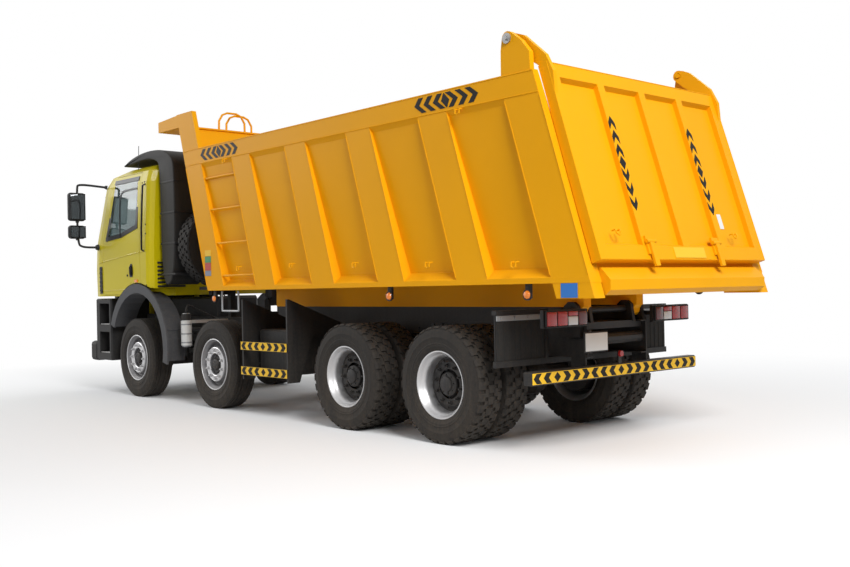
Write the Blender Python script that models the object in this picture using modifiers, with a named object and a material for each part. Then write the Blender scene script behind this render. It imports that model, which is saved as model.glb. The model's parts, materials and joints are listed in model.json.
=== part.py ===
"""Four-axle dump truck with a cab over the engine and a ribbed tipping body.

Metres, +X forward, +Y to the truck's left, +Z up. Sizes along X are measured from the
first axle, and the root empty then moves the whole truck so that it is centred.
"""

import bpy
import bmesh
from math import atan2, cos, pi, radians, sin, sqrt, tan
from mathutils import Matrix, Vector

# Clearances
SEAT_GAP = 0.0003
RUN_GAP = 0.006

# Wheels and axles
WHEEL_SIDES = 18
TYRE_RADIUS = 0.535
TYRE_HALF_WIDTH = 0.150
TREAD_HALF_WIDTH = 0.118
SHOULDER_DROP = 0.028
FLANGE_RADIUS = 0.300
FLANGE_HALF_WIDTH = 0.125
WELL_RADIUS = 0.264
DRUM_RADIUS = 0.205
TWIN_SPACING = 0.336
STEER_TRACK_HALF = 1.030
TWIN_TRACK_HALF = 0.923
STEER_SPACING = 2.05
MAIN_SPACING = 2.67
TANDEM_SPACING = 1.38
KINGPIN_Y = 0.790
SPINDLE_RADIUS = 0.054
AXLE_TUBE_RADIUS = 0.075

# Chassis frame
RAIL_OUTER_Y = 0.430
RAIL_FLANGE = 0.085
RAIL_WALL = 0.010
RAIL_TOP_Z = 1.060
RAIL_BOTTOM_Z = 0.760
FRAME_FRONT_X = 1.040
FRAME_REAR_X = -7.140
SUBFRAME_TOP_Z = 1.200
SUBFRAME_FRONT_X = -2.350
SUBFRAME_REAR_X = -6.850
SPRING_Y = 0.385
SPRING_WIDTH = 0.090
TANDEM_SPRING_Y = 0.510

# Cab
CAB_BOTTOM_Z = 1.360
CAB_FLOOR_Z = 1.600
CAB_ROOF_Z = 3.100
CAB_BELT_Z = 2.080
CAB_HALF_WIDTH = 1.220
CAB_REAR_X = -0.520
CAB_FRONT_X = 1.380
CAB_WALL = 0.050
CAB_CORNER = 0.360
CAB_TILT_X = 1.120
CAB_TILT_Z = 1.050
ARCH_X = -0.160
ARCH_Z = 0.660
ARCH_RADIUS = 0.740
ARCH_BAND = 0.120
ARCH_CLEARANCE = 0.018
DOOR_REAR_X = -0.270
DOOR_FRONT_X = 0.880
DOOR_TOP_Z = 3.010
GLASS_THICKNESS = 0.010

# Tipping body
BED_HALF_WIDTH = 1.270
BED_BOTTOM_Z = 1.410
BED_TOP_Z = 3.120
BED_LEAN = tan(radians(17.5))
RIB_PITCH = 1.070
RIB_WIDTH = 0.380
RIB_COUNT = 4
REAR_POST_X = -7.670
FLOOR_TOP_Z = 1.500
PANEL_INNER_BOTTOM_Y = 1.130
PANEL_INNER_TOP_Y = 1.205
PANEL_OUTER_BOTTOM_Y = 1.165
PANEL_OUTER_TOP_Y = 1.245
TOP_RAIL_HEIGHT = 0.190
FRONT_TOP_Z = 3.590
CANOPY_FRONT_X = -0.960
CANOPY_DEPTH = 0.160
BED_PIVOT_X = -7.000
BED_PIVOT_Z = 1.170
BED_PIN_RADIUS = 0.030
BEARER_Y = 0.380
BEARER_WIDTH = 0.100

# Tailgate
GATE_HALF_WIDTH = 1.200
GATE_HEIGHT = 1.670
GATE_THICKNESS = 0.090
GATE_BOTTOM_Z = 1.555
GATE_PIVOT_X = -7.050
GATE_PIVOT_Z = 3.415
GATE_PIN_RADIUS = 0.022
RECESS_COUNT = 4
RECESS_WIDTH = 0.475
RECESS_PITCH = 0.565
RECESS_DEPTH = 0.045

# Hoist
HOIST_X = -1.600
HOIST_FOOT_Z = 1.250
HOIST_EYE_Z = 2.600
HOIST_STAGES = 4
HOIST_BARREL_RADIUS = 0.110
HOIST_STEP = 0.015

# Rear equipment
UNDERRUN_X = -7.120
UNDERRUN_Z = 0.632
UNDERRUN_HEIGHT = 0.115
UNDERRUN_HALF_LENGTH = 1.185
FLAP_X = -6.780

# Worked-out places
AXLE_Z = TYRE_RADIUS * cos(pi / WHEEL_SIDES)
AXLE_X = (
    0.0,
    -STEER_SPACING,
    -STEER_SPACING - MAIN_SPACING,
    -STEER_SPACING - MAIN_SPACING - TANDEM_SPACING,
)
TANDEM_X = (AXLE_X[2] + AXLE_X[3]) / 2
FRONT_POST_X = REAR_POST_X + (RIB_COUNT + 1) * RIB_PITCH
BED_REAR_X = REAR_POST_X - RIB_WIDTH / 2
BED_FRONT_X = FRONT_POST_X + RIB_WIDTH / 2
SILL_REAR_X = BED_REAR_X - 0.080
BUMPER_FRONT_X = CAB_FRONT_X + 0.040
TRUCK_SHIFT = -(SILL_REAR_X + BUMPER_FRONT_X) / 2

COLLECTION = "dump_truck"
SIDES = {"left": 1, "right": -1}


def leaned(x, z):
    """X of a point of the leaning body that is at x where the body's bottom is."""
    return x + BED_LEAN * (z - BED_BOTTOM_Z)


def clear_scene():
    for obj in list(bpy.data.objects):
        bpy.data.objects.remove(obj, do_unlink=True)
    for block in (bpy.data.meshes, bpy.data.curves, bpy.data.materials):
        for item in list(block):
            block.remove(item)


def new_collection(name):
    collection = bpy.data.collections.new(name)
    bpy.context.scene.collection.children.link(collection)
    return collection


clear_scene()
PARTS = new_collection(COLLECTION)
CUTTERS = new_collection("cutters")


# Basic shapes


def mesh_piece(mesh, name="piece"):
    """Wrap a mesh in an object on the workbench collection."""
    obj = bpy.data.objects.new(name, mesh)
    CUTTERS.objects.link(obj)
    obj.hide_render = True
    obj.display_type = "WIRE"
    return obj


def from_bmesh(bm, name="piece", face_out=True):
    """Mesh piece from a bmesh; face_out stays off where a hollow's walls face inwards."""
    if face_out:
        bm.normal_update()
        bmesh.ops.recalc_face_normals(bm, faces=bm.faces)
        if bm.faces and bm.calc_volume(signed=True) < 0:
            bmesh.ops.reverse_faces(bm, faces=bm.faces)
    mesh = bpy.data.meshes.new(name)
    bm.to_mesh(mesh)
    bm.free()
    return mesh_piece(mesh, name)


def baked(obj, weld=0.00005, face_out=True):
    """Replace an object by the mesh that its modifiers or its curve give."""
    bpy.context.view_layer.update()
    evaluated = obj.evaluated_get(bpy.context.evaluated_depsgraph_get())
    mesh = bpy.data.meshes.new_from_object(evaluated)
    bm = bmesh.new()
    bm.from_mesh(mesh)
    bm.transform(obj.matrix_world)
    bmesh.ops.remove_doubles(bm, verts=bm.verts, dist=weld)
    bmesh.ops.dissolve_degenerate(bm, edges=bm.edges, dist=weld)
    bpy.data.objects.remove(obj, do_unlink=True)
    return from_bmesh(bm, face_out=face_out)


def block(x, y, z, bevel=0.0, segments=2):
    """Box between two values on each axis, with optional rounded edges."""
    bm = bmesh.new()
    bmesh.ops.create_cube(bm, size=1.0)
    size = Vector((abs(x[1] - x[0]), abs(y[1] - y[0]), abs(z[1] - z[0])))
    centre = Vector(((x[0] + x[1]) / 2, (y[0] + y[1]) / 2, (z[0] + z[1]) / 2))
    bmesh.ops.scale(bm, vec=size, verts=bm.verts)
    bmesh.ops.translate(bm, vec=centre, verts=bm.verts)
    if bevel:
        bmesh.ops.bevel(
            bm, geom=bm.edges[:], offset=bevel, segments=segments,
            profile=0.5, affect="EDGES",
        )
    return from_bmesh(bm)


def rod(start, end, radius, end_radius=None, sides=12):
    """Cylinder or cone between two points."""
    start, end = Vector(start), Vector(end)
    run = end - start
    bm = bmesh.new()
    bmesh.ops.create_cone(
        bm, cap_ends=True, segments=sides, radius1=radius,
        radius2=radius if end_radius is None else end_radius, depth=run.length,
    )
    turn = run.to_track_quat("Z", "Y").to_matrix().to_4x4()
    bm.transform(Matrix.Translation((start + end) / 2) @ turn)
    return from_bmesh(bm)


AXES = {
    "X": Matrix(((0, 0, 1, 0), (1, 0, 0, 0), (0, 1, 0, 0), (0, 0, 0, 1))),
    "Y": Matrix(((1, 0, 0, 0), (0, 0, 1, 0), (0, 1, 0, 0), (0, 0, 0, 1))),
    "Z": Matrix.Identity(4),
}


def prism(outline, axis, low, high):
    """Flat outline carried along one axis: (y, z) for X, (x, z) for Y and (x, y) for Z."""
    curve = bpy.data.curves.new("outline", "CURVE")
    curve.dimensions = "2D"
    curve.fill_mode = "BOTH"
    curve.extrude = abs(high - low) / 2
    spline = curve.splines.new("POLY")
    spline.points.add(len(outline) - 1)
    for point, (across, up) in zip(spline.points, outline):
        point.co = (across, up, 0.0, 1.0)
    spline.use_cyclic_u = True
    obj = bpy.data.objects.new("outline", curve)
    CUTTERS.objects.link(obj)
    obj.matrix_world = AXES[axis] @ Matrix.Translation((0, 0, (low + high) / 2))
    return baked(obj)


def pipe(points, radius, resolution=2):
    """Round bar along a chain of points, with closed ends."""
    curve = bpy.data.curves.new("pipe", "CURVE")
    curve.dimensions = "3D"
    curve.bevel_depth = radius
    curve.bevel_resolution = resolution
    curve.use_fill_caps = True
    spline = curve.splines.new("POLY")
    spline.points.add(len(points) - 1)
    for point, place in zip(spline.points, points):
        point.co = (*place, 1.0)
    obj = bpy.data.objects.new("pipe", curve)
    CUTTERS.objects.link(obj)
    return baked(obj)


def arc(centre, radius, start, end, count):
    """Points along an arc in its own plane, angles in degrees."""
    return [
        (
            centre[0] + radius * cos(radians(start + (end - start) * i / count)),
            centre[1] + radius * sin(radians(start + (end - start) * i / count)),
        )
        for i in range(count + 1)
    ]


def turned(profile, sides=WHEEL_SIDES, closed=False):
    """Revolve (radius, height) points about Y; height runs outboard, to the left."""
    bm = bmesh.new()
    verts = [bm.verts.new((radius, 0.0, height)) for radius, height in profile]
    for a, b in zip(verts, verts[1:] + verts[:1] if closed else verts[1:]):
        bm.edges.new((a, b))
    obj = from_bmesh(bm)
    screw = obj.modifiers.new("turn", "SCREW")
    screw.steps = screw.render_steps = sides
    screw.use_merge_vertices = True
    screw.merge_threshold = 0.00005
    half_step = Matrix.Rotation(pi / sides, 4, "Z")
    obj.matrix_world = Matrix.Rotation(-pi / 2, 4, "X") @ Matrix.Rotation(pi / 2, 4, "Z") @ half_step
    return baked(obj)


# Joining and cutting


def combined(operation, base, others):
    for other in others:
        cut = base.modifiers.new(operation.lower(), "BOOLEAN")
        cut.operation = operation
        cut.solver = "EXACT"
        cut.object = other
        base = baked(base, face_out=False)
        bpy.data.objects.remove(other, do_unlink=True)
    return base


def fuse(base, *others):
    return combined("UNION", base, others)


def carve(base, *others):
    return combined("DIFFERENCE", base, others)


def common(base, *others):
    return combined("INTERSECT", base, others)


def copied(obj):
    return mesh_piece(obj.data.copy(), obj.name)


def moved(obj, x=0.0, y=0.0, z=0.0):
    obj.data.transform(Matrix.Translation((x, y, z)))
    return obj


def reflected(obj):
    """Copy of a left-hand piece for the right-hand side."""
    bm = bmesh.new()
    bm.from_mesh(obj.data)
    bm.transform(Matrix.Scale(-1, 4, (0, 1, 0)))
    bmesh.ops.reverse_faces(bm, faces=bm.faces)
    return from_bmesh(bm, face_out=False)


def sheared(obj):
    """Lean a piece of the body forward, as its posts and ribs lean."""
    for vert in obj.data.vertices:
        vert.co.x = leaned(vert.co.x, vert.co.z)
    return obj


def sided(build, side):
    """Left-hand piece as built, or its reflection."""
    piece = build()
    if side == "left":
        return piece
    other = reflected(piece)
    bpy.data.objects.remove(piece, do_unlink=True)
    return other


# Bodies, materials and finished nodes

PIVOTS = {}


def body(name, parent=None, point=(0.0, 0.0, 0.0)):
    """Empty on the body's joint axis, in the truck's own coordinates."""
    empty = bpy.data.objects.new(f"pivot_{name}", None)
    PARTS.objects.link(empty)
    base = PIVOTS[parent][1] if parent else Vector((-TRUCK_SHIFT, 0.0, 0.0))
    if parent:
        empty.parent = PIVOTS[parent][0]
    empty.location = Vector(point) - base
    PIVOTS[name] = (empty, Vector(point))
    return name


def material(name, colour, roughness, metallic=0.0):
    made = bpy.data.materials.new(name)
    made.use_nodes = True
    shader = made.node_tree.nodes["Principled BSDF"]
    shader.inputs["Base Color"].default_value = (*colour, 1.0)
    shader.inputs["Roughness"].default_value = roughness
    shader.inputs["Metallic"].default_value = metallic
    made.diffuse_color = (*colour, 1.0)
    return made


MATERIALS = {
    "body_paint": material("body_paint", (0.86, 0.42, 0.02), 0.35),
    "cab_paint": material("cab_paint", (0.75, 0.62, 0.03), 0.30),
    "frame_black": material("frame_black", (0.02, 0.02, 0.02), 0.60),
    "plastic": material("plastic", (0.05, 0.05, 0.05), 0.60),
    "fender_grey": material("fender_grey", (0.13, 0.13, 0.14), 0.60),
    "rubber": material("rubber", (0.03, 0.03, 0.03), 0.85),
    "steel": material("steel", (0.45, 0.45, 0.45), 0.40, 0.8),
    "chrome": material("chrome", (0.75, 0.75, 0.75), 0.15, 1.0),
    "glass": material("glass", (0.25, 0.32, 0.33), 0.05),
    "trim_grey": material("trim_grey", (0.16, 0.16, 0.17), 0.75),
    "white": material("white", (0.80, 0.80, 0.78), 0.40),
}


def node(obj, name, body_name, material_name):
    """Hand a finished solid to its body as a named node."""
    empty, point = PIVOTS[body_name]
    obj.data.transform(Matrix.Translation(-point))
    obj.name = name
    obj.data.name = name
    CUTTERS.objects.unlink(obj)
    PARTS.objects.link(obj)
    obj.hide_render = False
    obj.display_type = "TEXTURED"
    obj.parent = empty
    obj.data.materials.clear()
    obj.data.materials.append(MATERIALS[material_name])
    obj.data.shade_smooth()
    obj.data.set_sharp_from_angle(angle=radians(35))
    return obj


# Wheels

HUB_DEPTH = 0.020
HUB_CAP = 0.120
DISC_RADIUS = 0.175
DISC_OUT = 0.105
EYE_RADIUS = 0.042
FORK_WEB = 0.018
BACKPLATE = 0.007
FORK_WEB_Y = KINGPIN_Y + EYE_RADIUS + RUN_GAP
STEERED_DRUM_END = STEER_TRACK_HALF - FORK_WEB_Y - FORK_WEB - BACKPLATE - RUN_GAP
TWIN_DRUM_END = 0.300


def tyre_outline(middle):
    """Tyre's outer section from its outboard bead to its inboard bead."""
    side = TYRE_HALF_WIDTH
    tread = TREAD_HALF_WIDTH
    half = [
        (FLANGE_RADIUS + 0.006, FLANGE_HALF_WIDTH - 0.008),
        (FLANGE_RADIUS + 0.110, side),
        (TYRE_RADIUS - SHOULDER_DROP, side - 0.008),
        (TYRE_RADIUS, tread),
    ]
    outline = half + [(radius, -along) for radius, along in reversed(half)]
    return [(radius, middle + along) for radius, along in outline]


def steered_wheel_profile():
    """Tyre, convex disc, hub and brake drum, from the cap to the spindle's bore."""
    rim = FLANGE_HALF_WIDTH
    drum_end = STEERED_DRUM_END
    return [
        (0.0, HUB_CAP),
        (0.070, HUB_CAP),
        (0.085, 0.070),
        (0.122, 0.070),
        (0.130, DISC_OUT),
        (DISC_RADIUS, DISC_OUT),
        (WELL_RADIUS - 0.014, 0.035),
        (WELL_RADIUS + 0.010, rim - 0.040),
        (FLANGE_RADIUS - 0.014, rim),
        (FLANGE_RADIUS, rim),
        *tyre_outline(0.0),
        (FLANGE_RADIUS, -rim),
        (WELL_RADIUS, -rim + 0.020),
        (WELL_RADIUS - 0.020, 0.010),
        (DRUM_RADIUS, -0.010),
        (DRUM_RADIUS, -drum_end),
        (SPINDLE_RADIUS + RUN_GAP, -drum_end),
        (SPINDLE_RADIUS + RUN_GAP, HUB_DEPTH + SEAT_GAP),
        (0.0, HUB_DEPTH + SEAT_GAP),
    ]


def twin_wheel_profile():
    """Two tyres on deep-dished rims bolted back to back, with hub and drum."""
    offset = TWIN_SPACING / 2
    rim = FLANGE_HALF_WIDTH
    return [
        (0.0, 0.150),
        (0.105, 0.150),
        (0.128, 0.125),
        (0.132, 0.022),
        (0.180, 0.022),
        (WELL_RADIUS - 0.030, 0.060),
        (WELL_RADIUS, offset + rim - 0.050),
        (FLANGE_RADIUS - 0.014, offset + rim),
        (FLANGE_RADIUS, offset + rim),
        *tyre_outline(offset),
        (FLANGE_RADIUS - 0.010, offset - rim + 0.010),
        (FLANGE_RADIUS - 0.010, -offset + rim - 0.010),
        *tyre_outline(-offset),
        (FLANGE_RADIUS, -offset - rim),
        (WELL_RADIUS, -offset - rim + 0.020),
        (WELL_RADIUS - 0.030, -0.050),
        (DRUM_RADIUS, -0.050),
        (DRUM_RADIUS, -TWIN_DRUM_END),
        (AXLE_TUBE_RADIUS + RUN_GAP, -TWIN_DRUM_END),
        (AXLE_TUBE_RADIUS + RUN_GAP, 0.0),
        (0.0, 0.0),
    ]


def make_wheel(profile, x, track_half, side):
    wheel = turned(profile)
    if side == "right":
        other = reflected(wheel)
        bpy.data.objects.remove(wheel, do_unlink=True)
        wheel = other
    return moved(wheel, x, SIDES[side] * track_half, AXLE_Z)


# Knuckles: a fork round the beam's eye, a spindle and a steering arm

FORK_HALF_HEIGHT = 0.130
EYE_HALF_HEIGHT = 0.070


def knuckle(x):
    """Left-hand stub axle that swings about the kingpin."""
    web_outer = FORK_WEB_Y + FORK_WEB
    web = block((x - 0.075, x + 0.075), (FORK_WEB_Y, web_outer),
                (AXLE_Z - FORK_HALF_HEIGHT, AXLE_Z + FORK_HALF_HEIGHT), 0.006, 1)
    lug_height = FORK_HALF_HEIGHT - EYE_HALF_HEIGHT - SEAT_GAP
    lugs = []
    for way in (-1, 1):
        top = AXLE_Z + way * FORK_HALF_HEIGHT
        lugs.append(block((x - 0.045, x + 0.045), (KINGPIN_Y, FORK_WEB_Y + 0.005),
                          (top - way * lug_height, top)))
        lugs.append(rod((x, KINGPIN_Y, top - way * lug_height), (x, KINGPIN_Y, top + way * 0.002),
                        0.047, sides=8))
    plate = rod((x, web_outer - 0.004, AXLE_Z), (x, web_outer + BACKPLATE, AXLE_Z),
                DRUM_RADIUS - 0.012, sides=12)
    spindle = rod((x, web_outer, AXLE_Z), (x, STEER_TRACK_HALF + HUB_DEPTH, AXLE_Z), SPINDLE_RADIUS,
                  sides=10)
    arm_z = AXLE_Z - FORK_HALF_HEIGHT + 0.022
    arm = pipe([(x - 0.02, KINGPIN_Y + 0.02, arm_z), (x - 0.17, KINGPIN_Y - 0.03, arm_z),
                (x - 0.22, KINGPIN_Y - 0.035, arm_z)], 0.018, 1)
    return fuse(web, *lugs, plate, spindle, arm)


# Axles

BEAM_DROP = 0.075
SPRING_TOP_Z = RAIL_BOTTOM_Z - 0.060
SPRING_HALF_LENGTH = 0.700
SPRING_LEAVES = 4
LEAF = 0.018


def leaf_pack(x, y, width, half_length, bottom_z, ends_z, leaves):
    """Bowed leaves, each longer than the one below it, with an eye at each end."""
    rise = ends_z - bottom_z - leaves * LEAF

    def under(along, leaf):
        return (x + along, bottom_z + leaf * LEAF + rise * (along / half_length) ** 2)

    reaches = [half_length * (leaf + 1 + leaves) / (2 * leaves) for leaf in range(leaves)]
    steps = []
    for leaf in reversed(range(leaves)):
        steps.append(under(reaches[leaf], leaf))
        if leaf:
            steps.append(under(reaches[leaf - 1], leaf))
    lower = [(2 * x - px, pz) for px, pz in steps] + [under(0.0, 0)] + steps[::-1]
    upper = [under(half_length * share, leaves) for share in (1.0, 0.5, 0.0, -0.5, -1.0)]
    pieces = [prism(lower + upper, "Y", y - width / 2, y + width / 2)]
    for way in (-1, 1):
        eye = (x + way * half_length, ends_z - LEAF / 2)
        pieces.append(rod((eye[0], y - width / 2 - 0.002, eye[1]), (eye[0], y + width / 2 + 0.002, eye[1]),
                          0.034, sides=8))
    return pieces


def steering_axle(x):
    """Dropped beam with kingpin eyes, and the two leaf packs clamped on it."""
    beam_z = AXLE_Z - BEAM_DROP
    knee = KINGPIN_Y - 0.160
    neck = KINGPIN_Y - 0.060
    half = 0.048
    outline = [
        (KINGPIN_Y, AXLE_Z - half), (neck, AXLE_Z - half), (knee, beam_z - half), (-knee, beam_z - half),
        (-neck, AXLE_Z - half), (-KINGPIN_Y, AXLE_Z - half), (-KINGPIN_Y, AXLE_Z + half),
        (-neck, AXLE_Z + half), (-knee, beam_z + half), (knee, beam_z + half), (neck, AXLE_Z + half),
        (KINGPIN_Y, AXLE_Z + half),
    ]
    pieces = [prism(outline, "X", x - 0.038, x + 0.038)]
    pad_top = beam_z + half + 0.045
    for way in (-1, 1):
        pieces.append(rod((x, way * KINGPIN_Y, AXLE_Z - EYE_HALF_HEIGHT),
                          (x, way * KINGPIN_Y, AXLE_Z + EYE_HALF_HEIGHT), EYE_RADIUS, sides=10))
        y = way * SPRING_Y
        pieces.append(block((x - 0.09, x + 0.09), (y - 0.052, y + 0.052), (beam_z, pad_top)))
        pieces += leaf_pack(x, y, SPRING_WIDTH, SPRING_HALF_LENGTH, pad_top - 0.004, SPRING_TOP_Z,
                            SPRING_LEAVES)
        pieces.append(block((x - 0.075, x + 0.075), (y - 0.049, y + 0.049),
                            (pad_top - 0.006, pad_top + SPRING_LEAVES * LEAF + 0.020)))
    return fuse(*pieces)


DIFF_RADIUS = 0.185
HOUSING_HALF = TWIN_TRACK_HALF - TWIN_DRUM_END - RUN_GAP
SHAFT_RADIUS = 0.050


def drive_axle(x, shaft_to=None):
    """Housing with its differential, and the stub that each pair of wheels turns on."""
    pieces = [
        rod((x, -HOUSING_HALF, AXLE_Z), (x, HOUSING_HALF, AXLE_Z), AXLE_TUBE_RADIUS + 0.020, sides=12),
        rod((x, -TWIN_TRACK_HALF + SEAT_GAP, AXLE_Z), (x, TWIN_TRACK_HALF - SEAT_GAP, AXLE_Z),
            AXLE_TUBE_RADIUS, sides=16),
    ]
    bm = bmesh.new()
    bmesh.ops.create_uvsphere(bm, u_segments=12, v_segments=8, radius=DIFF_RADIUS)
    bmesh.ops.scale(bm, vec=(1.0, 0.85, 1.0), verts=bm.verts)
    bmesh.ops.translate(bm, vec=(x, 0, AXLE_Z), verts=bm.verts)
    pieces.append(from_bmesh(bm))
    nose = x + DIFF_RADIUS + 0.110
    pieces.append(rod((x, 0, AXLE_Z), (nose, 0, AXLE_Z), 0.115, 0.070))
    for way in (-1, 1):
        y = way * TANDEM_SPRING_Y
        pieces.append(block((x - 0.075, x + 0.075), (y - 0.050, y + 0.050),
                            (AXLE_Z, AXLE_Z + AXLE_TUBE_RADIUS + 0.030)))
    if shaft_to is not None:
        pieces.append(rod((nose - 0.02, 0, AXLE_Z), (shaft_to, 0, AXLE_Z), SHAFT_RADIUS))
    return fuse(*pieces)


def tandem_suspension():
    """Two inverted leaf packs on a cross shaft, their tips over the axle seats."""
    seat_top = AXLE_Z + AXLE_TUBE_RADIUS + 0.030
    trunnion_z = seat_top + 0.010
    pieces = [rod((TANDEM_X, -TANDEM_SPRING_Y - 0.06, trunnion_z),
                  (TANDEM_X, TANDEM_SPRING_Y + 0.06, trunnion_z), 0.055, sides=12)]
    reach = TANDEM_SPACING / 2 + 0.070
    tip = 0.045
    for way in (-1, 1):
        y = way * TANDEM_SPRING_Y
        low, high = y - SPRING_WIDTH / 2, y + SPRING_WIDTH / 2
        low_z = seat_top + SEAT_GAP
        pieces.append(prism([
            (TANDEM_X - reach, low_z), (TANDEM_X + reach, low_z), (TANDEM_X + reach, low_z + tip),
            (TANDEM_X + 0.62 * reach, low_z + tip + 0.045), (TANDEM_X + 0.20 * reach, low_z + 0.135),
            (TANDEM_X - 0.20 * reach, low_z + 0.135), (TANDEM_X - 0.62 * reach, low_z + tip + 0.045),
            (TANDEM_X - reach, low_z + tip),
        ], "Y", low, high))
        arch_low = low_z + 0.040
        pieces.append(block((TANDEM_X - 0.11, TANDEM_X + 0.11), (low - 0.006, high + 0.006),
                            (arch_low, low_z + 0.150)))
        hanger = RAIL_OUTER_Y + SEAT_GAP
        pieces.append(block((TANDEM_X - 0.10, TANDEM_X + 0.10),
                            (way * hanger, way * (hanger + 0.040)),
                            (trunnion_z + 0.06, RAIL_TOP_Z - 0.060)))
    return fuse(*pieces)


# Frame

GEARBOX_REAR_X = -1.440
HANGER_X = 0.050
HOIST_FOOT_HALF = 0.080
HOIST_PIN_RADIUS = 0.025
LUG_RADIUS = 0.050
CAB_LUG_HALF = 0.022
CAB_PIN_RADIUS = 0.018
CAB_SADDLE_Y = RAIL_OUTER_Y - 0.055


def rail_section(inner, outer, bottom, top):
    """Channel that opens towards the middle of the truck."""
    wall = RAIL_WALL
    return [
        (outer, bottom), (outer, top), (inner, top), (inner, top - wall),
        (outer - wall, top - wall), (outer - wall, bottom + wall), (inner, bottom + wall),
        (inner, bottom),
    ]


def chassis_frame():
    """Two channel rails with the body's subframe, cross tubes, hangers and hinge lugs."""
    inner = RAIL_OUTER_Y - RAIL_FLANGE
    pieces = []
    for way in (-1, 1):
        section = [(way * y, z) for y, z in
                   rail_section(inner, RAIL_OUTER_Y, RAIL_BOTTOM_Z, RAIL_TOP_Z)]
        pieces.append(prism(section, "X", FRAME_REAR_X, FRAME_FRONT_X))
        pieces.append(block((SUBFRAME_REAR_X, SUBFRAME_FRONT_X),
                            (way * (inner + 0.010), way * (RAIL_OUTER_Y - 0.004)),
                            (RAIL_TOP_Z - 0.004, SUBFRAME_TOP_Z)))
        for axle_x in AXLE_X[:2]:
            for end in (-1, 1):
                x = axle_x + end * SPRING_HALF_LENGTH
                y = way * SPRING_Y
                pieces.append(block((x - HANGER_X, x + HANGER_X), (y - 0.037, y + 0.038),
                                    (SPRING_TOP_Z - LEAF / 2 + 0.034 + SEAT_GAP, RAIL_BOTTOM_Z + 0.004)))
        for y0, y1 in ((BEARER_Y - BEARER_WIDTH / 2 - 0.045, BEARER_Y - BEARER_WIDTH / 2 - RUN_GAP),
                       (BEARER_Y + BEARER_WIDTH / 2 + RUN_GAP, BEARER_Y + BEARER_WIDTH / 2 + 0.045)):
            reach = 0.075
            pieces.append(prism([
                (BED_PIVOT_X - 0.100, RAIL_TOP_Z - 0.004), (BED_PIVOT_X + 0.140, RAIL_TOP_Z - 0.004),
                (BED_PIVOT_X + reach, BED_PIVOT_Z + 0.040), (BED_PIVOT_X + 0.030, BED_PIVOT_Z + reach),
                (BED_PIVOT_X - 0.030, BED_PIVOT_Z + reach), (BED_PIVOT_X - reach, BED_PIVOT_Z + 0.040),
            ], "Y", *sorted((way * y0, way * y1))))
        plate = RAIL_OUTER_Y - 0.004
        pieces.append(block((BED_PIVOT_X - 0.100, BED_PIVOT_X + 0.140),
                            (way * plate, way * (BEARER_Y + BEARER_WIDTH / 2 + 0.048)),
                            (RAIL_TOP_Z - 0.120, RAIL_TOP_Z)))
    pieces.append(rod((BED_PIVOT_X, -BEARER_Y - 0.110, BED_PIVOT_Z),
                      (BED_PIVOT_X, BEARER_Y + 0.110, BED_PIVOT_Z), BED_PIN_RADIUS, sides=12))
    middle = (RAIL_TOP_Z + RAIL_BOTTOM_Z) / 2
    web = RAIL_OUTER_Y - RAIL_WALL / 2
    tubes = (
        # x, z, radius
        (FRAME_FRONT_X - 0.080, middle, 0.050),
        (GEARBOX_REAR_X - 0.220, RAIL_TOP_Z - 0.060, 0.045),
        (AXLE_X[1] - 0.620, middle + 0.050, 0.045),
        (AXLE_X[2] + 0.900, middle + 0.050, 0.045),
        (TANDEM_X, middle + 0.060, 0.055),
        (AXLE_X[3] - 0.480, middle, 0.045),
        (FRAME_REAR_X + 0.070, middle, 0.050),
    )
    for x, z, radius in tubes:
        pieces.append(rod((x, -web, z), (x, web, z), radius, sides=10))
    pieces.append(block((BED_PIVOT_X - 0.090, BED_PIVOT_X + 0.130), (-web, web),
                        (RAIL_TOP_Z - 0.060, RAIL_TOP_Z + 0.002)))
    pieces.append(block((HOIST_X - 0.110, HOIST_X + 0.110), (-web, web),
                        (RAIL_TOP_Z - 0.004, RAIL_TOP_Z + 0.060)))
    lug = HOIST_FOOT_HALF + SEAT_GAP
    pieces.append(rod((HOIST_X, -lug - 0.020, HOIST_FOOT_Z), (HOIST_X, lug + 0.020, HOIST_FOOT_Z),
                      HOIST_PIN_RADIUS))
    for way in (-1, 1):
        pieces.append(prism([
            (HOIST_X - LUG_RADIUS, RAIL_TOP_Z + 0.050), (HOIST_X + LUG_RADIUS, RAIL_TOP_Z + 0.050),
            *arc((HOIST_X, HOIST_FOOT_Z), LUG_RADIUS, 0, 180, 8),
        ], "Y", way * lug, way * (lug + 0.030)))
        saddle = CAB_SADDLE_Y
        for y0, y1 in ((saddle - 0.058, saddle - CAB_LUG_HALF - SEAT_GAP),
                       (saddle + CAB_LUG_HALF + SEAT_GAP, saddle + 0.0565)):
            pieces.append(block((FRAME_FRONT_X - 0.140, CAB_TILT_X + 0.045), (way * y0, way * y1),
                                (RAIL_BOTTOM_Z + 0.080, CAB_TILT_Z + 0.040)))
        pieces.append(rod((CAB_TILT_X, way * (saddle - 0.050), CAB_TILT_Z),
                          (CAB_TILT_X, way * (saddle + 0.050), CAB_TILT_Z), CAB_PIN_RADIUS))
    return fuse(*pieces)


def engine_block():
    """Engine and gearbox as one plain stepped block under the cab."""
    sump_z = AXLE_Z + 0.090
    engine = block((-0.720, 0.620), (-0.320, 0.320), (sump_z, 1.330), 0.030, 1)
    gearbox = block((GEARBOX_REAR_X, -0.700), (-0.210, 0.210), (sump_z + 0.040, RAIL_TOP_Z - 0.030), 0.030, 1)
    mounts = [
        block((0.050, 0.170), (way * 0.300, way * (RAIL_OUTER_Y - RAIL_WALL - SEAT_GAP)), (0.860, 0.980))
        for way in (-1, 1)
    ]
    return fuse(engine, gearbox, *mounts)


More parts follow.
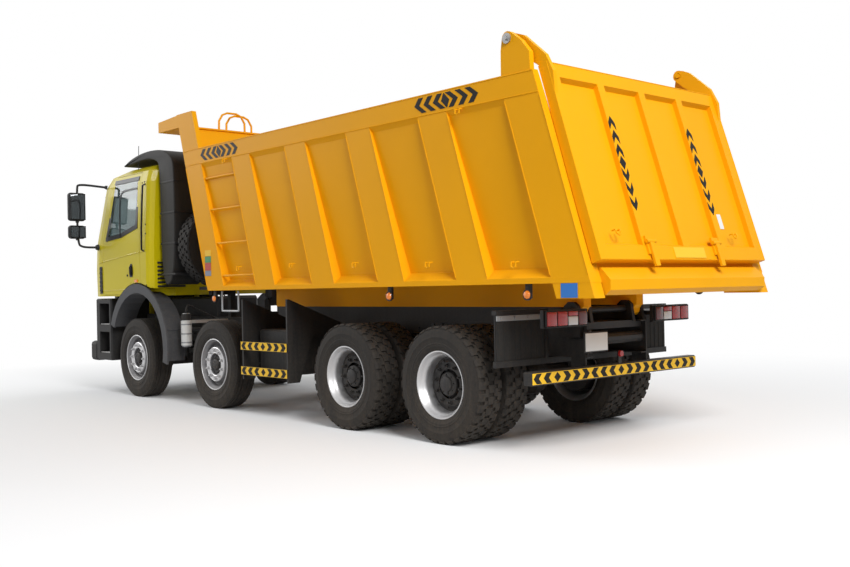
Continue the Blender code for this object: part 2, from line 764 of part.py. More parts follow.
def propshaft():
    """Shaft from the gearbox to the first driven axle."""
    front = (GEARBOX_REAR_X - SEAT_GAP, 0.0, 0.800)
    rear = (AXLE_X[2] + DIFF_RADIUS + 0.110 + SEAT_GAP, 0.0, AXLE_Z)
    neck = 0.060
    start = (front[0] - neck, 0.0, front[2])
    end = (rear[0] + neck, 0.0, rear[2])
    return fuse(rod(start, end, SHAFT_RADIUS), rod(front, (start[0] - 0.03, 0, start[2]), 0.065),
                rod((end[0] + 0.03, 0, end[2]), rear, 0.065))


# Cab


def cab_section(z, front, half_width, rear, corner):
    """Plan outline of the cab at one height, with wide front and tight rear corners."""
    rear_corner = corner * 0.22
    quarter = arc((front - corner, half_width - corner), corner, 0, 90, 4)
    quarter += arc((rear + rear_corner, half_width - rear_corner), rear_corner, 90, 180, 2)
    half = [(x, y, z) for x, y in quarter]
    return half + [(x, -y, z) for x, y, z in reversed(half)]


def cab_form(inset=0.0, floor_z=CAB_BOTTOM_Z):
    """Closed outer form of the cab, lofted through plan outlines and moved in by an inset."""
    sections = (
        # height, front, half width, corner
        (CAB_BOTTOM_Z, CAB_FRONT_X - 0.020, CAB_HALF_WIDTH, CAB_CORNER),
        (1.720, CAB_FRONT_X, CAB_HALF_WIDTH, CAB_CORNER),
        (CAB_BELT_Z, CAB_FRONT_X - 0.030, CAB_HALF_WIDTH, CAB_CORNER),
        (2.880, CAB_FRONT_X - 0.280, CAB_HALF_WIDTH - 0.035, CAB_CORNER + 0.040),
        (3.020, CAB_FRONT_X - 0.400, CAB_HALF_WIDTH - 0.075, CAB_CORNER + 0.060),
        (CAB_ROOF_Z, CAB_FRONT_X - 0.640, CAB_HALF_WIDTH - 0.200, CAB_CORNER + 0.060),
    )
    bm = bmesh.new()
    rings = []
    for i, (z, front, half_width, corner) in enumerate(sections):
        rear = CAB_REAR_X + (0.090 if i == len(sections) - 1 else 0.0)
        height = max(z, floor_z) if i == 0 else z
        if i == len(sections) - 1:
            height -= inset
        points = cab_section(height, front - inset, half_width - inset, rear + inset,
                             max(corner - inset, 0.02))
        ring = [bm.verts.new(point) for point in points]
        rings.append([bm.edges.new(pair) for pair in zip(ring, ring[1:] + ring[:1])])
        if i in (0, len(sections) - 1):
            bm.faces.new(ring)
    for lower, upper in zip(rings, rings[1:]):
        bmesh.ops.bridge_loops(bm, edges=lower + upper)
    return from_bmesh(bm)


def arch_cutter(radius, y0, y1):
    return rod((ARCH_X, y0, ARCH_Z), (ARCH_X, y1, ARCH_Z), radius, sides=40)


DOOR_BOTTOM_Z = CAB_BOTTOM_Z + 0.015
DOOR_SEAM = 0.006
WELL_REAR_X = 0.420


def door_prism(shrink, low, high):
    """Outline of the door in side view; its lower rear corner follows the wheel arch."""
    outline = [
        (DOOR_REAR_X + shrink, DOOR_BOTTOM_Z + 0.160 + shrink), (DOOR_REAR_X + shrink, DOOR_TOP_Z - shrink),
        (0.480, DOOR_TOP_Z - shrink), (DOOR_FRONT_X - shrink, CAB_BELT_Z + 0.020),
        (DOOR_FRONT_X - shrink, DOOR_BOTTOM_Z + shrink), (0.200, DOOR_BOTTOM_Z + shrink),
    ]
    return prism(outline, "Y", low, high)


def window_prism(shrink, low, high):
    """Door window: its sill falls towards the front and its front edge leans back."""
    outline = [
        (-0.170 + shrink, 2.290 + shrink), (-0.180 + shrink, 2.930 - shrink),
        (0.500 - shrink * 0.7, 2.930 - shrink), (0.740 - shrink, 2.160 + shrink),
        (0.300, 2.190 + shrink),
    ]
    return prism(outline, "Y", low, high)


def screen_prism(shrink):
    """Windscreen opening seen from the front."""
    half, top, bottom = 1.060 - shrink, 2.860 - shrink, 2.060 + shrink
    outline = [(-half, bottom), (half, bottom), (half - 0.060, top), (-half + 0.060, top)]
    return prism(outline, "X", 0.600, CAB_FRONT_X + 0.100)


def cab_solid_shell():
    """Walls, roof and floor of the cab in one piece, before doors and windows are cut."""
    outer = cab_form()
    arches = [arch_cutter(ARCH_RADIUS + ARCH_BAND + ARCH_CLEARANCE, way * 0.840, way * 1.400)
              for way in (-1, 1)]
    outer = carve(outer, *arches)
    inside = cab_form(CAB_WALL, CAB_FLOOR_Z)
    well = block((WELL_REAR_X + 0.150, CAB_FRONT_X - 0.160),
                 (-CAB_HALF_WIDTH + CAB_WALL, CAB_HALF_WIDTH - CAB_WALL),
                 (CAB_BOTTOM_Z + CAB_WALL, CAB_FLOOR_Z + 0.010))
    corners = cab_form(CAB_WALL)
    well = common(well, corners)
    return carve(outer, fuse(inside, well))


def cab_shell(shell):
    """Shell with its door and window openings, and the lugs that it tilts on."""
    reach = CAB_HALF_WIDTH + 0.100
    inner_y = CAB_HALF_WIDTH - 0.340
    cutters = [screen_prism(0.0)]
    for way in (-1, 1):
        cutters.append(door_prism(0.0, way * inner_y, way * reach))
    result = carve(copied(shell), *cutters)
    lugs = []
    for way in (-1, 1):
        y = way * CAB_SADDLE_Y
        lug = block((CAB_TILT_X - 0.036, CAB_TILT_X + 0.036), (y - CAB_LUG_HALF, y + CAB_LUG_HALF),
                    (CAB_TILT_Z - 0.036, CAB_BOTTOM_Z + 0.010))
        hole = rod((CAB_TILT_X, y - 0.100, CAB_TILT_Z), (CAB_TILT_X, y + 0.100, CAB_TILT_Z),
                   CAB_PIN_RADIUS + RUN_GAP)
        lugs.append(carve(lug, hole))
    return fuse(result, *lugs)


def door(shell):
    """Left door: the shell's own skin inside the door's outline, with its window cut."""
    inner_y = CAB_HALF_WIDTH - CAB_WALL - 0.110
    leaf = common(copied(shell), door_prism(DOOR_SEAM, inner_y, CAB_HALF_WIDTH + 0.100))
    hinges = [block((DOOR_FRONT_X - 0.020, DOOR_FRONT_X - SEAT_GAP),
                    (CAB_HALF_WIDTH - 0.040, CAB_HALF_WIDTH - 0.005), (z, z + 0.080)) for z in (1.620, 1.920)]
    return carve(fuse(leaf, *hinges), window_prism(0.0, inner_y - 0.050, CAB_HALF_WIDTH + 0.100))


def glass_skin():
    """Thin skin of the cab's form, from which each pane is cut."""
    return carve(cab_form(), cab_form(GLASS_THICKNESS, CAB_BOTTOM_Z + 0.100))


GRILLE_BOTTOM_Z = 0.900


def cab_grille():
    """Front panel below the windscreen, down to the bumper."""
    top = CAB_BOTTOM_Z - SEAT_GAP
    panel = block((CAB_FRONT_X - 0.070, CAB_FRONT_X + 0.020), (-0.820, 0.820), (GRILLE_BOTTOM_Z, top))
    arms = [block((CAB_FRONT_X - 0.250, CAB_FRONT_X - 0.060), (way * 0.500, way * 0.560), (top - 0.050, top))
            for way in (-1, 1)]
    recesses = [block((CAB_FRONT_X - 0.010, CAB_FRONT_X + 0.100), (-0.640, 0.640), (z, z + 0.060))
                for z in (0.980, 1.080, 1.180)]
    return carve(fuse(panel, *arms), *recesses)


def dashboard():
    """Dash across the cab with a raised cowl in front of the driver."""
    outline = [
        (0.860, 1.780), (0.800, 1.960), (0.860, 2.030), (1.020, 2.010), (1.080, 1.780),
    ]
    desk = prism(outline, "Y", -1.020, 1.020)
    cowl = block((0.780, 0.960), (0.280, 0.820), (1.900, 2.060), 0.030, 1)
    legs = [block((0.900, 1.000), (way * 0.930, way * 0.980), (CAB_BOTTOM_Z + CAB_WALL + SEAT_GAP, 1.790))
            for way in (-1, 1)]
    top, bottom = steering_column()
    return fuse(desk, cowl, *legs, rod(bottom, top, 0.032))


SEAT_Y = 0.560
SEAT_X = 0.020


def seats():
    """Driver's and passenger's seats joined by the engine cover between them."""
    floor = CAB_FLOOR_Z + SEAT_GAP
    pieces = [block((SEAT_X - 0.350, SEAT_X + 0.420), (-0.330, 0.330), (floor, 1.800), 0.030, 1)]
    for way in (-1, 1):
        y = way * SEAT_Y
        pieces.append(block((SEAT_X - 0.200, SEAT_X + 0.200), (y - 0.240, y + 0.240), (floor, 1.780)))
        pieces.append(block((SEAT_X - 0.240, SEAT_X + 0.270), (y - 0.250, y + 0.250), (1.770, 1.920),
                            0.040, 1))
        back = block((SEAT_X - 0.330, SEAT_X - 0.200), (y - 0.240, y + 0.240), (1.800, 2.480), 0.045, 1)
        rest = block((SEAT_X - 0.320, SEAT_X - 0.225), (y - 0.130, y + 0.130), (2.400, 2.680), 0.035, 1)
        pieces += [back, rest]
    return fuse(*pieces)


STEERING_X, STEERING_Y, STEERING_Z = 0.690, SEAT_Y, 2.080
STEERING_TILT = 28.0
STEERING_RADIUS = 0.215


def steering_axis():
    return Vector((-sin(radians(STEERING_TILT)), 0.0, cos(radians(STEERING_TILT))))


def steering_wheel():
    """Rim, spokes and hub, turned about the column."""
    bm = bmesh.new()
    rim = 0.014
    ring = [bm.verts.new((STEERING_RADIUS + rim * cos(2 * pi * i / 5), 0.0, rim * sin(2 * pi * i / 5)))
            for i in range(5)]
    for a, b in zip(ring, ring[1:] + ring[:1]):
        bm.edges.new((a, b))
    obj = from_bmesh(bm)
    screw = obj.modifiers.new("rim", "SCREW")
    screw.steps = screw.render_steps = 18
    screw.use_merge_vertices = True
    screw.merge_threshold = 0.00005
    rim_piece = baked(obj)
    hub = rod((0, 0, -0.060), (0, 0, 0.010), 0.045)
    spokes = [
        pipe([(0, 0, -0.010), (STEERING_RADIUS * cos(radians(a)), STEERING_RADIUS * sin(radians(a)), 0)],
             0.012, 0)
        for a in (-90, 90, 180)
    ]
    wheel = fuse(rim_piece, hub, *spokes)
    turn = steering_axis().to_track_quat("Z", "Y").to_matrix().to_4x4()
    wheel.data.transform(Matrix.Translation((STEERING_X, STEERING_Y, STEERING_Z)) @ turn)
    return wheel


def steering_column():
    """Column from the floor of the foot well to just below the wheel's hub."""
    top = Vector((STEERING_X, STEERING_Y, STEERING_Z)) - steering_axis() * (0.060 + SEAT_GAP)
    bottom = top - steering_axis() * 0.260
    return top, bottom


def mirrors():
    """Left main and wide-angle mirrors on an arm from the roof corner to the door's front."""
    x, y = 1.080, 1.500
    upper = (0.840, CAB_HALF_WIDTH - 0.057, 2.900)
    lower = (1.030, CAB_HALF_WIDTH + 0.004, 2.060)
    arm = pipe([upper, (x - 0.010, y - 0.020, 2.960), (x, y, 2.900), (x, y, 2.120), (x - 0.010, y - 0.060, 2.060),
                lower], 0.016, 0)
    main = block((x - 0.050, x + 0.050), (y - 0.110, y + 0.130), (2.430, 2.830), 0.030, 1)
    wide = block((x - 0.050, x + 0.050), (y - 0.115, y + 0.135), (2.180, 2.370), 0.030, 1)
    foot = rod((lower[0], lower[1] - 0.0035, lower[2]), (lower[0], lower[1] + 0.030, lower[2]), 0.045)
    return fuse(arm, main, wide, foot)


def air_intake():
    """Intake stack behind the cab whose hood curves forward over the roof."""
    top_z = 3.300
    outer = [(-0.600, 1.500), (-0.600, 3.060), (-0.480, 3.160), (-0.180, 3.200), (0.430, 3.150),
             (0.470, 3.165), (0.300, 3.230), (0.000, 3.285), (-0.380, top_z), (-0.720, 3.260),
             (-0.940, 3.140), (-0.980, 2.960), (-0.980, 2.100), (-0.900, 1.500)]
    hood = prism(outer, "Y", 0.640, 1.080)
    brackets = [block((-0.605, CAB_REAR_X - SEAT_GAP), (0.720, 0.800), (z, z + 0.050)) for z in (1.700, 2.850)]
    return fuse(hood, *brackets)


def wheel_arch():
    """Left arch over the first wheel: an outer band and the guard strip behind it."""
    face_y = CAB_HALF_WIDTH
    band_outer = ARCH_RADIUS + ARCH_BAND
    centre = (ARCH_X, ARCH_Z)
    band = arc(centre, band_outer, 21, 192, 16) + arc(centre, ARCH_RADIUS, 192, 21, 16)
    strip = arc(centre, ARCH_RADIUS + 0.018, 22, 191, 16) + arc(centre, ARCH_RADIUS + 0.002, 191, 22, 16)
    pieces = [prism(band, "Y", face_y - 0.012, face_y + 0.012), prism(strip, "Y", 0.930, face_y)]
    stay_z = ARCH_Z + 0.250
    stay_x = ARCH_X - sqrt(ARCH_RADIUS ** 2 - 0.250 ** 2)
    pieces.append(rod((stay_x - 0.004, RAIL_OUTER_Y + SEAT_GAP, stay_z), (stay_x - 0.004, 1.150, stay_z), 0.020))
    pieces.append(block((stay_x - 0.060, stay_x + 0.050), (RAIL_OUTER_Y + SEAT_GAP, RAIL_OUTER_Y + 0.014),
                        (stay_z - 0.050, stay_z + 0.050)))
    return fuse(*pieces)


BUMPER_TOP_Z = 0.720


def front_bumper():
    """Bumper across the front with a step box on each side."""
    rear, rest = FRAME_FRONT_X + 0.140, RAIL_BOTTOM_Z - SEAT_GAP
    pieces = [block((rear, BUMPER_FRONT_X), (-1.200, 1.200), (0.440, BUMPER_TOP_Z), 0.050, 2)]
    bracket = [
        (FRAME_FRONT_X - 0.160, rest), (FRAME_FRONT_X - 0.160, rest - 0.120), (rear + 0.020, rest - 0.120),
        (rear + 0.020, rest - 0.060), (FRAME_FRONT_X - 0.010, rest - 0.060), (FRAME_FRONT_X - 0.010, rest),
    ]
    cuts = []
    for way in (-1, 1):
        pieces.append(prism(bracket, "Y", way * CAB_SADDLE_Y - 0.035, way * CAB_SADDLE_Y + 0.035))
        pieces.append(block((0.700, rear + 0.020), (way * 0.900, way * 1.199), (0.460, 1.330), 0.020, 1))
        for z in (0.560, 0.960):
            cuts.append(block((0.760, 1.080), (way * 1.060, way * 1.300), (z, z + 0.300)))
    return carve(fuse(*pieces), *cuts)


# Tipping body

GATE_ARM_INSET = 0.002
LEDGE_Z = 0.120
RAIL_CHAMFER = 0.050
FOOT_Z = 1.290
FRAME_GAP = 0.030


def panel_outer_y(z):
    """Outer face of the side panel, which leans in towards the floor."""
    low, high = BED_BOTTOM_Z + LEDGE_Z, BED_TOP_Z - TOP_RAIL_HEIGHT - RAIL_CHAMFER
    share = (z - low) / (high - low)
    return PANEL_OUTER_BOTTOM_Y + share * (PANEL_OUTER_TOP_Y - PANEL_OUTER_BOTTOM_Y)


def ladder_x(z, share):
    """X between the front post and the first rib at a height; share 0 is the post."""
    front = leaned(FRONT_POST_X - RIB_WIDTH / 2, z)
    rear = leaned(FRONT_POST_X - RIB_PITCH + RIB_WIDTH / 2, z)
    return front + share * (rear - front)


def bed_side(ladder):
    """Side wall with its rails, ribs, end posts and the ear that carries the tailgate."""
    under = BED_TOP_Z - TOP_RAIL_HEIGHT
    section = [
        (PANEL_INNER_BOTTOM_Y, BED_BOTTOM_Z), (BED_HALF_WIDTH, BED_BOTTOM_Z),
        (BED_HALF_WIDTH, BED_BOTTOM_Z + 0.045), (PANEL_OUTER_BOTTOM_Y, BED_BOTTOM_Z + LEDGE_Z),
        (PANEL_OUTER_TOP_Y, under - RAIL_CHAMFER), (BED_HALF_WIDTH, under),
        (BED_HALF_WIDTH, BED_TOP_Z), (PANEL_INNER_TOP_Y, BED_TOP_Z),
    ]
    pieces = [prism(section, "X", BED_REAR_X, BED_FRONT_X)]
    low, high = BED_BOTTOM_Z + 0.020, under + 0.030
    rib_section = [
        (PANEL_INNER_BOTTOM_Y + 0.018, low), (BED_HALF_WIDTH - 0.001, low),
        (BED_HALF_WIDTH - 0.001, high), (PANEL_INNER_TOP_Y + 0.018, high),
    ]
    for i in range(RIB_COUNT + 2):
        x = REAR_POST_X + i * RIB_PITCH
        pieces.append(prism(rib_section, "X", x - RIB_WIDTH / 2 + 0.001, x + RIB_WIDTH / 2 - 0.001))
    post_inner = PANEL_INNER_TOP_Y + 0.004
    pieces.append(block((FRONT_POST_X - RIB_WIDTH / 2, BED_FRONT_X - 0.001), (post_inner, BED_HALF_WIDTH - 0.001),
                        (BED_TOP_Z - 0.060, FRONT_TOP_Z)))
    wall = sheared(fuse(*pieces))
    ear_y = (GATE_HALF_WIDTH + 0.016, BED_HALF_WIDTH - 0.004)
    top_rear = leaned(BED_REAR_X, BED_TOP_Z)
    ear = prism([
        (top_rear + 0.350, BED_TOP_Z - 0.100), (GATE_PIVOT_X + 0.075, GATE_PIVOT_Z - 0.090),
        *arc((GATE_PIVOT_X, GATE_PIVOT_Z), 0.060, 0, 120, 4), (GATE_PIVOT_X - 0.150, GATE_PIVOT_Z - 0.040),
        (top_rear + 0.035, BED_TOP_Z + 0.150), (top_rear + 0.020, BED_TOP_Z - 0.100),
    ], "Y", *ear_y)
    pin = rod((GATE_PIVOT_X, GATE_HALF_WIDTH - 0.052, GATE_PIVOT_Z),
              (GATE_PIVOT_X, BED_HALF_WIDTH - 0.002, GATE_PIVOT_Z), GATE_PIN_RADIUS)
    foot = prism([
        (leaned(BED_REAR_X + 0.002, FOOT_Z), FOOT_Z), (leaned(BED_REAR_X + RIB_WIDTH - 0.002, FOOT_Z), FOOT_Z),
        (leaned(BED_REAR_X + RIB_WIDTH - 0.002, BED_BOTTOM_Z + 0.030), BED_BOTTOM_Z + 0.030),
        (leaned(BED_REAR_X + 0.002, BED_BOTTOM_Z + 0.030), BED_BOTTOM_Z + 0.030),
    ], "Y", PANEL_INNER_BOTTOM_Y + 0.010, BED_HALF_WIDTH - 0.002)
    collar = rod((GATE_PIVOT_X, GATE_HALF_WIDTH - GATE_ARM_INSET + SEAT_GAP, GATE_PIVOT_Z),
                 (GATE_PIVOT_X, ear_y[0] + 0.004, GATE_PIVOT_Z), 0.040)
    pieces = [wall, ear, pin, collar, foot]
    canopy_side = prism([
        (leaned(BED_FRONT_X, FRONT_TOP_Z) - 0.100, FRONT_TOP_Z - 0.002),
        (leaned(BED_FRONT_X, FRONT_TOP_Z) - 0.100, FRONT_TOP_Z - CANOPY_DEPTH),
        (CANOPY_FRONT_X, FRONT_TOP_Z - CANOPY_DEPTH), (CANOPY_FRONT_X, FRONT_TOP_Z - 0.030),
    ], "Y", BED_HALF_WIDTH - 0.040, BED_HALF_WIDTH - 0.002)
    pieces.append(canopy_side)
    if ladder:
        for z in (1.580, 1.960, 2.360, 2.740):
            y = BED_HALF_WIDTH - 0.022
            pieces.append(rod((ladder_x(z, 0.0) + 0.060, y, z), (ladder_x(z, 1.0) - 0.060, y, z), 0.012,
                              sides=8))
    return fuse(*pieces)


def bed_floor():
    """Floor plate with cross bearers, the two long bearers, hinge lugs and the rear sill."""
    half = PANEL_INNER_BOTTOM_Y - SEAT_GAP
    plate_z = FLOOR_TOP_Z - 0.020
    pieces = [block((BED_REAR_X + 0.004, BED_FRONT_X - 0.060), (-half, half), (plate_z, FLOOR_TOP_Z))]
    lean_back = leaned(BED_REAR_X, plate_z)
    bearer_low = SUBFRAME_TOP_Z + SEAT_GAP
    for i in range(8):
        x = REAR_POST_X + 0.050 + i * (FRONT_POST_X - REAR_POST_X - 0.050) / 7
        pieces.append(block((x - 0.040, x + 0.040), (-half + 0.002, half - 0.002),
                            (BED_BOTTOM_Z, plate_z + 0.004)))
    for way in (-1, 1):
        low, high = sorted((way * (BEARER_Y - BEARER_WIDTH / 2), way * (BEARER_Y + BEARER_WIDTH / 2)))
        pieces.append(block((BED_PIVOT_X - 0.110, FRONT_POST_X), (low, high), (bearer_low, plate_z + 0.004)))
        lug = prism([
            (BED_PIVOT_X - 0.110, bearer_low + 0.020), (BED_PIVOT_X + 0.140, bearer_low + 0.020),
            *arc((BED_PIVOT_X, BED_PIVOT_Z), 0.075, 0, -180, 6),
        ], "Y", low, high)
        hole = rod((BED_PIVOT_X, low - 0.010, BED_PIVOT_Z), (BED_PIVOT_X, high + 0.010, BED_PIVOT_Z),
                   BED_PIN_RADIUS + RUN_GAP)
        pieces.append(carve(lug, hole))
    sill = prism([
        (BED_REAR_X + 0.180, plate_z + 0.004), (lean_back - 0.010, GATE_BOTTOM_Z - 0.030),
        (SILL_REAR_X, BED_BOTTOM_Z + 0.020), (SILL_REAR_X, BED_BOTTOM_Z - 0.060),
        (SILL_REAR_X + 0.050, BED_BOTTOM_Z - 0.100), (BED_REAR_X + 0.020, BED_BOTTOM_Z - 0.040),
        (BED_REAR_X + 0.180, BED_BOTTOM_Z),
    ], "Y", -half, half)
    return fuse(*pieces, sill)


def bed_front_wall():
    """Leaning front wall with stiffeners, the canopy over the cab, hoops and the hoist's lugs."""
    half = PANEL_INNER_TOP_Y - 0.0006
    low_half = PANEL_INNER_BOTTOM_Y - SEAT_GAP
    front = BED_FRONT_X - 0.020
    back = front - 0.030
    wall_top = FRONT_TOP_Z - CANOPY_DEPTH
    slope = (half - low_half) / (BED_TOP_Z - BED_BOTTOM_Z)
    floor_z = FLOOR_TOP_Z + SEAT_GAP
    edge = low_half + slope * (floor_z - BED_BOTTOM_Z)
    outline = [
        (-edge, floor_z), (edge, floor_z), (half, BED_TOP_Z), (half, wall_top + 0.006),
        (-half, wall_top + 0.006), (-half, BED_TOP_Z),
    ]
    pieces = [sheared(prism(outline, "X", back, front))]
    for z in (1.560, 2.050, 2.850, 3.250):
        pieces.append(sheared(block((front - 0.002, front + 0.050), (-edge + 0.010, edge - 0.010),
                                    (z, z + 0.080))))
    rear_x = leaned(BED_FRONT_X, FRONT_TOP_Z) - 0.102
    canopy = prism([
        (rear_x - 0.020, wall_top), (CANOPY_FRONT_X, wall_top), (CANOPY_FRONT_X, FRONT_TOP_Z - 0.030),
        (CANOPY_FRONT_X - 0.012, FRONT_TOP_Z - 0.030), (CANOPY_FRONT_X - 0.012, wall_top + 0.012),
        (rear_x - 0.020, wall_top + 0.012),
    ], "Y", -half, half)
    inner = BED_HALF_WIDTH - 0.040 - SEAT_GAP
    clear_x = leaned(BED_FRONT_X, FRONT_TOP_Z) + 0.006
    eaves = block((clear_x, CANOPY_FRONT_X - 0.002), (-inner, inner), (wall_top + 0.001, wall_top + 0.011))
    pieces += [canopy, eaves]
    for x, y in ((rear_x + 0.060, 0.510), (rear_x + 0.200, 0.320)):
        reach, top = 0.190, wall_top + 0.250
        pieces.append(pipe([
            (x, y + reach, wall_top + 0.004), (x, y + reach * 0.98, top - 0.110), (x, y + reach * 0.72, top - 0.030),
            (x, y + reach * 0.35, top), (x, y - reach * 0.35, top), (x, y - reach * 0.72, top - 0.030),
            (x, y - reach * 0.98, top - 0.110), (x, y - reach, wall_top + 0.004),
        ], 0.014, 1))
    for way in (-1, 1):
        low, high = sorted((way * (HOIST_EYE_HALF + 0.010), way * (HOIST_EYE_HALF + 0.035)))
        pieces.append(prism([
            (leaned(front, HOIST_EYE_Z - 0.120) - 0.010, HOIST_EYE_Z - 0.120),
            (HOIST_X + 0.060, HOIST_EYE_Z - 0.060), (HOIST_X + 0.060, HOIST_EYE_Z + 0.060),
            (leaned(front, HOIST_EYE_Z + 0.120) - 0.010, HOIST_EYE_Z + 0.120),
        ], "Y", low, high))
    return fuse(*pieces)


# Tailgate, built flat against the rear posts

GATE_FRONT_GAP = 0.008


def gate_point(along, out):
    """X and Z of a point on the gate: along it from its foot, and out from its front face."""
    angle = atan2(BED_LEAN, 1.0)
    x0 = leaned(BED_REAR_X, GATE_BOTTOM_Z) - GATE_FRONT_GAP
    return (x0 + along * sin(angle) - out * cos(angle), GATE_BOTTOM_Z + along * cos(angle) + out * sin(angle))


def tailgate():
    """Framed plate with four sunk panels and two curved arms up to its hinge pins."""
    corners = [gate_point(0.0, 0.0), gate_point(GATE_HEIGHT, 0.0),
               gate_point(GATE_HEIGHT, GATE_THICKNESS), gate_point(0.0, GATE_THICKNESS)]
    plate = prism(corners, "Y", -GATE_HALF_WIDTH, GATE_HALF_WIDTH)
    cuts = []
    first = -RECESS_PITCH * (RECESS_COUNT - 1) / 2
    for i in range(RECESS_COUNT):
        y = first + i * RECESS_PITCH
        inside = GATE_THICKNESS - RECESS_DEPTH
        recess = [gate_point(0.150, inside), gate_point(GATE_HEIGHT - 0.150, inside),
                  gate_point(GATE_HEIGHT - 0.115, GATE_THICKNESS + 0.020),
                  gate_point(0.110, GATE_THICKNESS + 0.020)]
        cuts.append(prism(recess, "Y", y - RECESS_WIDTH / 2, y + RECESS_WIDTH / 2))
    plate = carve(plate, *cuts)
    arms = []
    for way in (-1, 1):
        low, high = sorted((way * (GATE_HALF_WIDTH - 0.040), way * (GATE_HALF_WIDTH - GATE_ARM_INSET)))
        root, tip = gate_point(GATE_HEIGHT - 0.300, GATE_THICKNESS - 0.004), gate_point(GATE_HEIGHT, 0.010)
        back = gate_point(GATE_HEIGHT + 0.060, GATE_THICKNESS + 0.010)
        arm = prism([
            root, gate_point(GATE_HEIGHT - 0.100, GATE_THICKNESS + 0.040), back,
            (GATE_PIVOT_X - 0.120, GATE_PIVOT_Z + 0.015),
            *arc((GATE_PIVOT_X, GATE_PIVOT_Z), 0.055, 110, -60, 6),
            (GATE_PIVOT_X - 0.060, GATE_PIVOT_Z - 0.120), tip,
        ], "Y", low, high)
        hole = rod((GATE_PIVOT_X, low - 0.010, GATE_PIVOT_Z), (GATE_PIVOT_X, high + 0.010, GATE_PIVOT_Z),
                   GATE_PIN_RADIUS + RUN_GAP)
        arms.append(carve(arm, hole))
    return fuse(plate, *arms)


# Hoist: a barrel on the frame and stages that slide out of it

HOIST_EYE_HALF = 0.045
TUBE_FLOOR = 0.004
STAGE_CLEARANCE = 0.0055


def stage_radius(index):
    """Outer radius of a stage; stage 0 is the barrel."""
    return HOIST_BARREL_RADIUS - index * HOIST_STEP


def hoist_tube(index):
    """One stage of the ram as a tube open at the top, the last one with the eye."""
    outer = stage_radius(index)
    low = HOIST_FOOT_Z + 0.090 + index * (TUBE_FLOOR + SEAT_GAP)
    high = HOIST_EYE_Z - 0.130 + index * 0.012
    top_stage = index == HOIST_STAGES
    bore = outer - HOIST_STEP + STAGE_CLEARANCE
    tube = rod((HOIST_X, 0, low), (HOIST_X, 0, high), outer, sides=16)
    if top_stage:
        neck = rod((HOIST_X, 0, high - 0.010), (HOIST_X, 0, HOIST_EYE_Z), 0.032, sides=12)
        eye = rod((HOIST_X, -HOIST_EYE_HALF, HOIST_EYE_Z), (HOIST_X, HOIST_EYE_HALF, HOIST_EYE_Z), 0.048,
                  sides=12)
        return fuse(tube, neck, eye)
    tube = carve(tube, rod((HOIST_X, 0, low + TUBE_FLOOR), (HOIST_X, 0, high + 0.050), bore, sides=16))
    if index == 0:
        floor = rod((HOIST_X, 0, low - 0.030), (HOIST_X, 0, low + TUBE_FLOOR / 2), outer - 0.001, sides=16)
        foot = block((HOIST_X - 0.045, HOIST_X + 0.045), (-HOIST_FOOT_HALF, HOIST_FOOT_HALF),
                     (HOIST_FOOT_Z - 0.050, low - 0.020))
        hole = rod((HOIST_X, -0.200, HOIST_FOOT_Z), (HOIST_X, 0.200, HOIST_FOOT_Z),
                   HOIST_PIN_RADIUS + RUN_GAP)
        return fuse(tube, floor, carve(foot, hole))
    return tube


# Equipment on the frame


def underrun_bar():
    """Rear bar on two drop brackets bolted to the ends of the rails."""
    low, high = UNDERRUN_Z - UNDERRUN_HEIGHT / 2, UNDERRUN_Z + UNDERRUN_HEIGHT / 2
    pieces = [block((UNDERRUN_X - 0.050, UNDERRUN_X + 0.050), (-UNDERRUN_HALF_LENGTH, UNDERRUN_HALF_LENGTH),
                    (low, high), 0.012, 1)]
    for way in (-1, 1):
        y = way * (RAIL_OUTER_Y + SEAT_GAP)
        pieces.append(block((UNDERRUN_X - 0.010, UNDERRUN_X + 0.150), (y, y + way * 0.014),
                            (high - 0.010, RAIL_TOP_Z - 0.140)))
    return fuse(*pieces)


LAMP_X = -7.190


def rear_fenders():
    """Cross bars behind the last wheels with the mudflaps and the lamp boxes."""
    pieces = [block((FLAP_X - 0.030, FLAP_X + 0.010), (-1.220, 1.220), (RAIL_BOTTOM_Z - 0.052, RAIL_BOTTOM_Z - SEAT_GAP))]
    for way in (-1, 1):
        pieces.append(block((FLAP_X - 0.030, FLAP_X + 0.010), (way * 0.560, way * 0.600),
                            (RAIL_BOTTOM_Z - 0.040, 1.190)))
        pieces.append(block((FLAP_X - 0.036, FLAP_X + 0.016), (way * 0.560, way * 1.220), (1.150, 1.190)))
        pieces.append(block((FLAP_X - 0.016, FLAP_X - 0.004), (way * 0.590, way * 1.215), (0.740, 1.160)))
        pieces.append(block((LAMP_X + 0.010, LAMP_X + 0.045), (way * 0.480, way * 1.040), (1.040, 1.190)))
        pieces.append(block((LAMP_X, LAMP_X + 0.020), (way * 0.500, way * 1.020), (1.050, 1.180), 0.008, 1))
        pieces.append(block((LAMP_X + 0.030, FLAP_X - 0.020), (way * 0.565, way * 0.595), (1.100, 1.140)))
    return fuse(*pieces)


def fuel_tank():
    """Tank on the right of the frame with its two carrying straps."""
    body_x = (-3.980, -2.900)
    tank = block(body_x, (-1.140, -0.520), (0.480, 1.040), 0.090, 3)
    pieces = [tank]
    for x in (body_x[0] + 0.200, body_x[1] - 0.200):
        pieces.append(block((x - 0.035, x + 0.035), (-0.530, -RAIL_OUTER_Y - SEAT_GAP), (0.560, 1.000)))
    pieces.append(rod((-3.200, -0.900, 1.030), (-3.200, -0.900, 1.075), 0.055))
    return fuse(*pieces)


BOARD_X = (-3.720, -2.830)
BOARD_Y = 1.235


